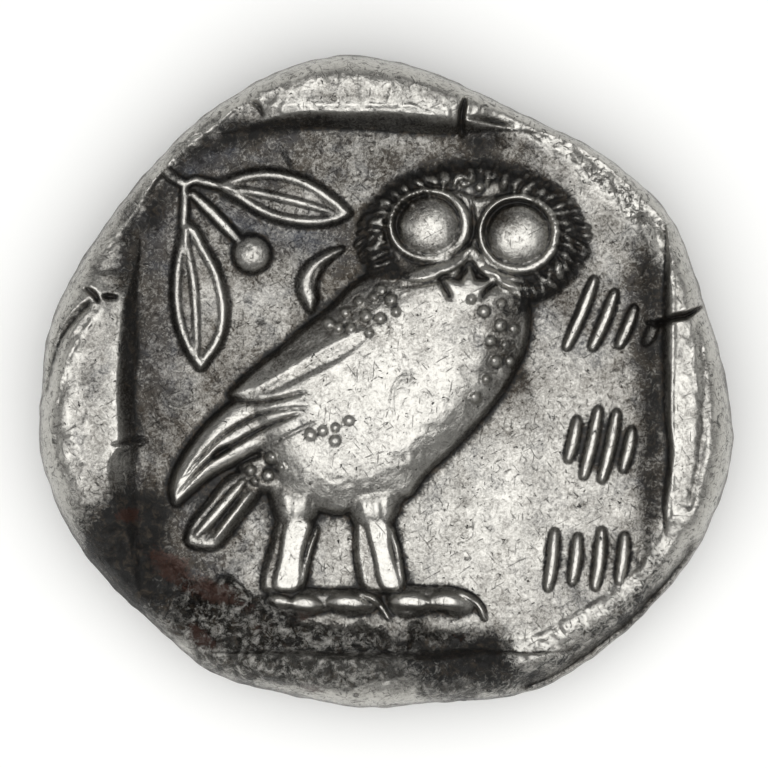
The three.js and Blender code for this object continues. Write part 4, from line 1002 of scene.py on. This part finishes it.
def toned_silver(colours):
    """Struck silver toned by age: rubbed bright on high spots, sulphide-grey in the field, grime in the recesses, and
    painted shade carried by the rubbed, brown and black masks.
    """
    material = bpy.data.materials.new("toned_silver")
    material.use_nodes = True
    tree = material.node_tree
    tree.nodes.clear()
    place = add_node(tree, "ShaderNodeVectorMath", {0: add_node(tree, "ShaderNodeTexCoord").outputs["Object"],
                                                    1: (1 / MM,) * 3}, operation="MULTIPLY").outputs[0]

    def mask(name):
        return add_node(tree, "ShaderNodeAttribute", attribute_name=name).outputs["Fac"]

    def noise(per_mm, detail=4.0, rough=0.6, curl=0.0, where=place):
        return add_node(tree, "ShaderNodeTexNoise", {"Vector": where, "Scale": per_mm, "Detail": detail, "Roughness": rough,
                                                     "Distortion": curl}).outputs[0]

    def ramp(value, low, high, to_low=0.0, to_high=1.0):
        return add_node(tree, "ShaderNodeMapRange", {"Value": value, "From Min": low, "From Max": high, "To Min": to_low,
                                                     "To Max": to_high}).outputs[0]

    def maths(operation, a, b):
        return add_node(tree, "ShaderNodeMath", {0: a, 1: b}, operation=operation).outputs[0]

    def add(*values):
        total = values[0]
        for value in values[1:]:
            total = maths("ADD", total, value)
        return total

    def mix(share, a, b):
        return add_node(tree, "ShaderNodeMix", {0: share, 6: a, 7: b}, data_type="RGBA").outputs[2]

    def hairlines(turn, shift):
        """Fine scratches that run at an angle, about half a millimetre long."""
        turned = add_node(tree, "ShaderNodeMapping", {"Vector": place, "Location": (shift, 0, 0), "Scale": (0.55, 0.09, 1),
                                                      "Rotation": (0, 0, math.radians(turn))}, vector_type="TEXTURE")
        return ramp(noise(1.0, 1.0, 0.5, 0.2, turned.outputs[0]), 0.705, 0.75)

    fine = noise(12.0, 3.0, 0.7, 0.6)  # grain of about a tenth of a millimetre
    wrinkle = noise(3.6, 5.0, 0.68, 1.5)  # short curling marks
    mottle = noise(1.4, 3.0)
    speck = ramp(noise(5.0, 2.0, 0.6, 0.7), 0.68, 0.73)
    scratch = maths("MAXIMUM", hairlines(28, 0), maths("MAXIMUM", hairlines(-52, 7), hairlines(84, 13)))
    hue = noise(0.8, 5.0, 0.75, 0.5)  # patches of warmer and cooler toning
    grain = ramp(fine, 0.3, 0.7, -1.0, 1.0)
    curls = ramp(wrinkle, 0.3, 0.7, -1.0, 1.0)
    clouds = ramp(mottle, 0.3, 0.7, -1.0, 1.0)

    # The rubbed mask, with its painted shade from the darker tone ovals, sets how bright the silver is.
    rubbed = add(mask("rubbed"), maths("MULTIPLY", grain, 0.24), maths("MULTIPLY", curls, 0.26), maths("MULTIPLY", clouds, 0.1))
    silver = mix(ramp(rubbed, 0.0, 1.0), tuple(colours.toned), tuple(colours.rubbed))
    hidden = ramp(rubbed, 0.95, 0.35)
    warm = add(mask("brown"), ramp(hue, 0.5, 0.75, 0.0, 0.55))
    cool = add(mask("blue"), ramp(hue, 0.5, 0.25, 0.0, 0.7))
    silver = mix(maths("MULTIPLY", warm, hidden), silver, tuple(colours.brown))
    silver = mix(maths("MULTIPLY", cool, maths("MULTIPLY", hidden, 0.8)), silver, tuple(colours.blue))
    # One dark colour for grime, the dark crust and the black mask's painted shade.
    soot_and_shade_colour = mix(ramp(noise(3.2, 4.0, 0.7, 0.8), 0.5, 0.68), tuple(colours.grime), tuple(colours.brown))
    packed = add(mask("grime"), maths("MULTIPLY", grain, 0.14), maths("MULTIPLY", curls, -0.3))
    # The black mask darkens the silver: black deposits, and painted shade by the walls, round the face's fringe and
    # between parts.
    deposit_and_painted_shade = add(mask("black"), maths("MULTIPLY", grain, 0.22), maths("MULTIPLY", curls, -0.4))
    worn_in = maths("MULTIPLY", mask("edge"), ramp(noise(2.4, 4.0, 0.7, 2.2), 0.46, 0.36, 0.0, 0.8))
    marks = maths("MAXIMUM", maths("MULTIPLY", speck, 0.95), maths("MULTIPLY", scratch, 0.5))
    marks = maths("MAXIMUM", marks, maths("MAXIMUM", ramp(wrinkle, 0.36, 0.28, 0.0, 0.7), worn_in))
    # All darkening: marks, grime packed in hollows, and the black mask's deposits and painted shade.
    dirt_and_painted_shade = maths("MAXIMUM", marks, maths("MAXIMUM", ramp(packed, 0.25, 0.85), ramp(deposit_and_painted_shade, 0.3, 0.75)))
    skin = mix(dirt_and_painted_shade, silver, soot_and_shade_colour)

    clots = noise(2.6, 6.0, 0.82, 0.4)
    corroded = mix(ramp(clots, 0.48, 0.64), soot_and_shade_colour, tuple(colours.rubbed))
    crusty = ramp(add(mask("crust"), maths("MULTIPLY", curls, 0.3), maths("MULTIPLY", mask("black"), -0.8)), 0.35, 0.75)
    skin = mix(maths("MULTIPLY", crusty, 0.85), skin, corroded)
    rusty = ramp(add(mask("rust"), maths("MULTIPLY", curls, 0.5), maths("MULTIPLY", ramp(clots, 0.4, 0.6), -0.35)), 0.2, 0.7, 0.0, 0.8)
    skin = mix(rusty, skin, tuple(colours.rust))

    rough = add(ramp(rubbed, 0.0, 1.0, 0.44, 0.32), maths("MULTIPLY", dirt_and_painted_shade, 0.15))
    metal = ramp(maths("MAXIMUM", dirt_and_painted_shade, rusty), 0.2, 1.0, 1.0, 0.3)
    loose = maths("MAXIMUM", crusty, mask("black"))
    rise = add(maths("MULTIPLY", fine, 0.006), maths("MULTIPLY", wrinkle, 0.022), maths("MULTIPLY", mottle, 0.05),
               maths("MULTIPLY", marks, -0.01), maths("MULTIPLY", maths("MULTIPLY", clots, loose), 0.1))
    bump = add_node(tree, "ShaderNodeBump", {"Height": rise, "Distance": MM, "Strength": 1.0}).outputs[0]
    shader = add_node(tree, "ShaderNodeBsdfPrincipled", {"Base Color": skin, "Metallic": metal, "Roughness": rough, "Normal": bump})
    add_node(tree, "ShaderNodeOutputMaterial", {"Surface": shader.outputs[0]})
    return material


def set_masks(mesh, owl, owl_parts, head, head_parts, sizes):
    """Writes each mask on the mesh's points, from the face that the point lies on."""
    place = np.zeros(len(mesh.vertices) * 3)
    mesh.vertices.foreach_get("co", place)
    x, y, z = (place.reshape(-1, 3) / MM).T
    above = z > sizes.belly / MM
    for name in owl_parts:
        value = np.where(above, owl.sample(owl_parts[name], x, y), head.sample(head_parts[name], -x, y))
        layer = mesh.attributes.get(name) or mesh.attributes.new(name, "FLOAT", "POINT")
        layer.data.foreach_set("value", value)
    loose = mesh.attributes.get("loose") or mesh.attributes.new("loose", "FLOAT", "POINT")
    loose.data.foreach_set("value", step_up(0.02, 0.2, z))


class COIN_OT_strike(bpy.types.Operator):
    """Strike the coin: both faces and the edge, as one piece of toned silver"""
    bl_idname = "coin.strike"
    bl_label = "Strike the coin"

    def execute(self, context):
        sizes, colours = context.scene.coin_sizes, context.scene.coin_colours
        owl, owl_parts = owl_side(sizes)
        head, head_parts = head_side(sizes)
        mesh = struck_mesh(owl, head, sizes)
        set_masks(mesh, owl, owl_parts, head, head_parts, sizes)
        blank = bpy.data.objects.new("blank", mesh)
        context.scene.collection.objects.link(blank)
        silver = toned_silver(colours)
        grain = blank.modifiers.new("Grain", "NODES")
        grain.node_group = grain_tree(silver)
        thin = blank.modifiers.new("Thin", "DECIMATE")
        triangles = sum(len(p.vertices) - 2 for p in mesh.polygons)
        thin.ratio = sizes.faces / triangles
        seen = blank.evaluated_get(context.evaluated_depsgraph_get())
        final = bpy.data.meshes.new_from_object(seen)
        final.name = "struck_coin"
        bpy.data.objects.remove(blank)
        set_masks(final, owl, owl_parts, head, head_parts, sizes)
        final.attributes.remove(final.attributes["loose"])
        final.polygons.foreach_set("use_smooth", np.ones(len(final.polygons), bool))
        coin = bpy.data.objects.new("struck_coin", final)
        context.scene.collection.objects.link(coin)
        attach(coin, "root")
        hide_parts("coin")
        return {"FINISHED"}


# ---- Stage ----
class COIN_OT_stage(bpy.types.Operator):
    """Lay the floor, hang the lights and set the camera straight above the coin"""
    bl_idname = "coin.stage"
    bl_label = "Set the stage"

    def execute(self, context):
        scene = context.scene
        scene.view_settings.view_transform = "Standard"
        self.lay_floor(scene)
        self.hang_lights(scene)
        self.set_camera(scene)
        return {"FINISHED"}

    def lay_floor(self, scene):
        size = 1.2
        mesh = bpy.data.meshes.new("floor")
        corners = [(-size, -size, 0), (size, -size, 0), (size, size, 0), (-size, size, 0)]
        mesh.from_pydata(corners, [], [(0, 1, 2, 3)])
        material = bpy.data.materials.new("studio_floor")
        material.use_nodes = True
        shader = material.node_tree.nodes["Principled BSDF"]
        shader.inputs["Base Color"].default_value = tuple(scene.coin_colours.floor)
        shader.inputs["Roughness"].default_value = 0.9
        shader.inputs["Emission Color"].default_value = (1, 1, 1, 1)
        shader.inputs["Emission Strength"].default_value = 0.1
        mesh.materials.append(material)
        floor = bpy.data.objects.new("floor", mesh)
        scene.collection.objects.link(floor)

    def hang_lights(self, scene):
        self.light_room(scene)
        light = bpy.data.lights.new("overhead softbox", "AREA")
        light.shape = "DISK"
        light.size = 1.1
        light.energy = 7.5
        lamp = bpy.data.objects.new("overhead softbox", light)
        lamp.location = (0, -0.2, 0.7)
        lamp.rotation_euler = (-math.atan2(0.2, 0.7), 0, 0)
        scene.collection.objects.link(lamp)

    def light_room(self, scene):
        """A dim room whose walls are pale near the floor."""
        world = bpy.data.worlds.new("studio")
        scene.world = world
        world.use_nodes = True
        tree = world.node_tree
        tree.nodes.clear()
        up = add_node(tree, "ShaderNodeSeparateXYZ", {0: add_node(tree, "ShaderNodeTexCoord").outputs["Generated"]}).outputs[2]
        glow = add_node(tree, "ShaderNodeMapRange", {"Value": up, "From Min": 0.08, "From Max": 0.4, "To Min": 0.7,
                                                     "To Max": 0.1}, interpolation_type="SMOOTHSTEP").outputs[0]
        sky = add_node(tree, "ShaderNodeBackground", {"Color": (1, 1, 1, 1), "Strength": glow})
        add_node(tree, "ShaderNodeOutputWorld", {"Surface": sky.outputs[0]})

    def set_camera(self, scene):
        low, high = COIN_LOW, COIN_HIGH
        width, distance = 27.73 * MM, 0.5
        data = bpy.data.cameras.new("camera")
        data.sensor_width = 36
        data.lens = 36 * distance / width
        data.clip_start, data.clip_end = 0.01, 10
        camera = bpy.data.objects.new("camera", data)
        camera.location = ((low[0] + high[0]) / 2 - 0.07 * MM, (low[1] + high[1]) / 2 - 0.09 * MM,
                           scene.coin_sizes.field + distance)
        scene.collection.objects.link(camera)
        scene.camera = camera


class COIN_PT_panel(bpy.types.Panel):
    """Lists the sizes, the colours and the two steps"""
    bl_label = "Owl tetradrachm"
    bl_idname = "COIN_PT_panel"
    bl_space_type = "VIEW_3D"
    bl_region_type = "UI"
    bl_category = "Coin"

    def draw(self, context):
        for group in (context.scene.coin_sizes, context.scene.coin_colours):
            box = self.layout.box()
            for name in group.__annotations__:
                box.prop(group, name)
        self.layout.operator(COIN_OT_strike.bl_idname)
        self.layout.operator(COIN_OT_stage.bl_idname)


CLASSES = (CoinSizes, CoinColours, COIN_OT_strike, COIN_OT_stage, COIN_PT_panel)


def register():
    for cls in CLASSES:
        bpy.utils.register_class(cls)
    bpy.types.Scene.coin_sizes = bpy.props.PointerProperty(type=CoinSizes)
    bpy.types.Scene.coin_colours = bpy.props.PointerProperty(type=CoinColours)


def unregister():
    del bpy.types.Scene.coin_colours
    del bpy.types.Scene.coin_sizes
    for cls in reversed(CLASSES):
        bpy.utils.unregister_class(cls)


def main():
    register()
    bpy.ops.coin.strike()
    bpy.ops.coin.stage()


if __name__ == "__main__":
    main()
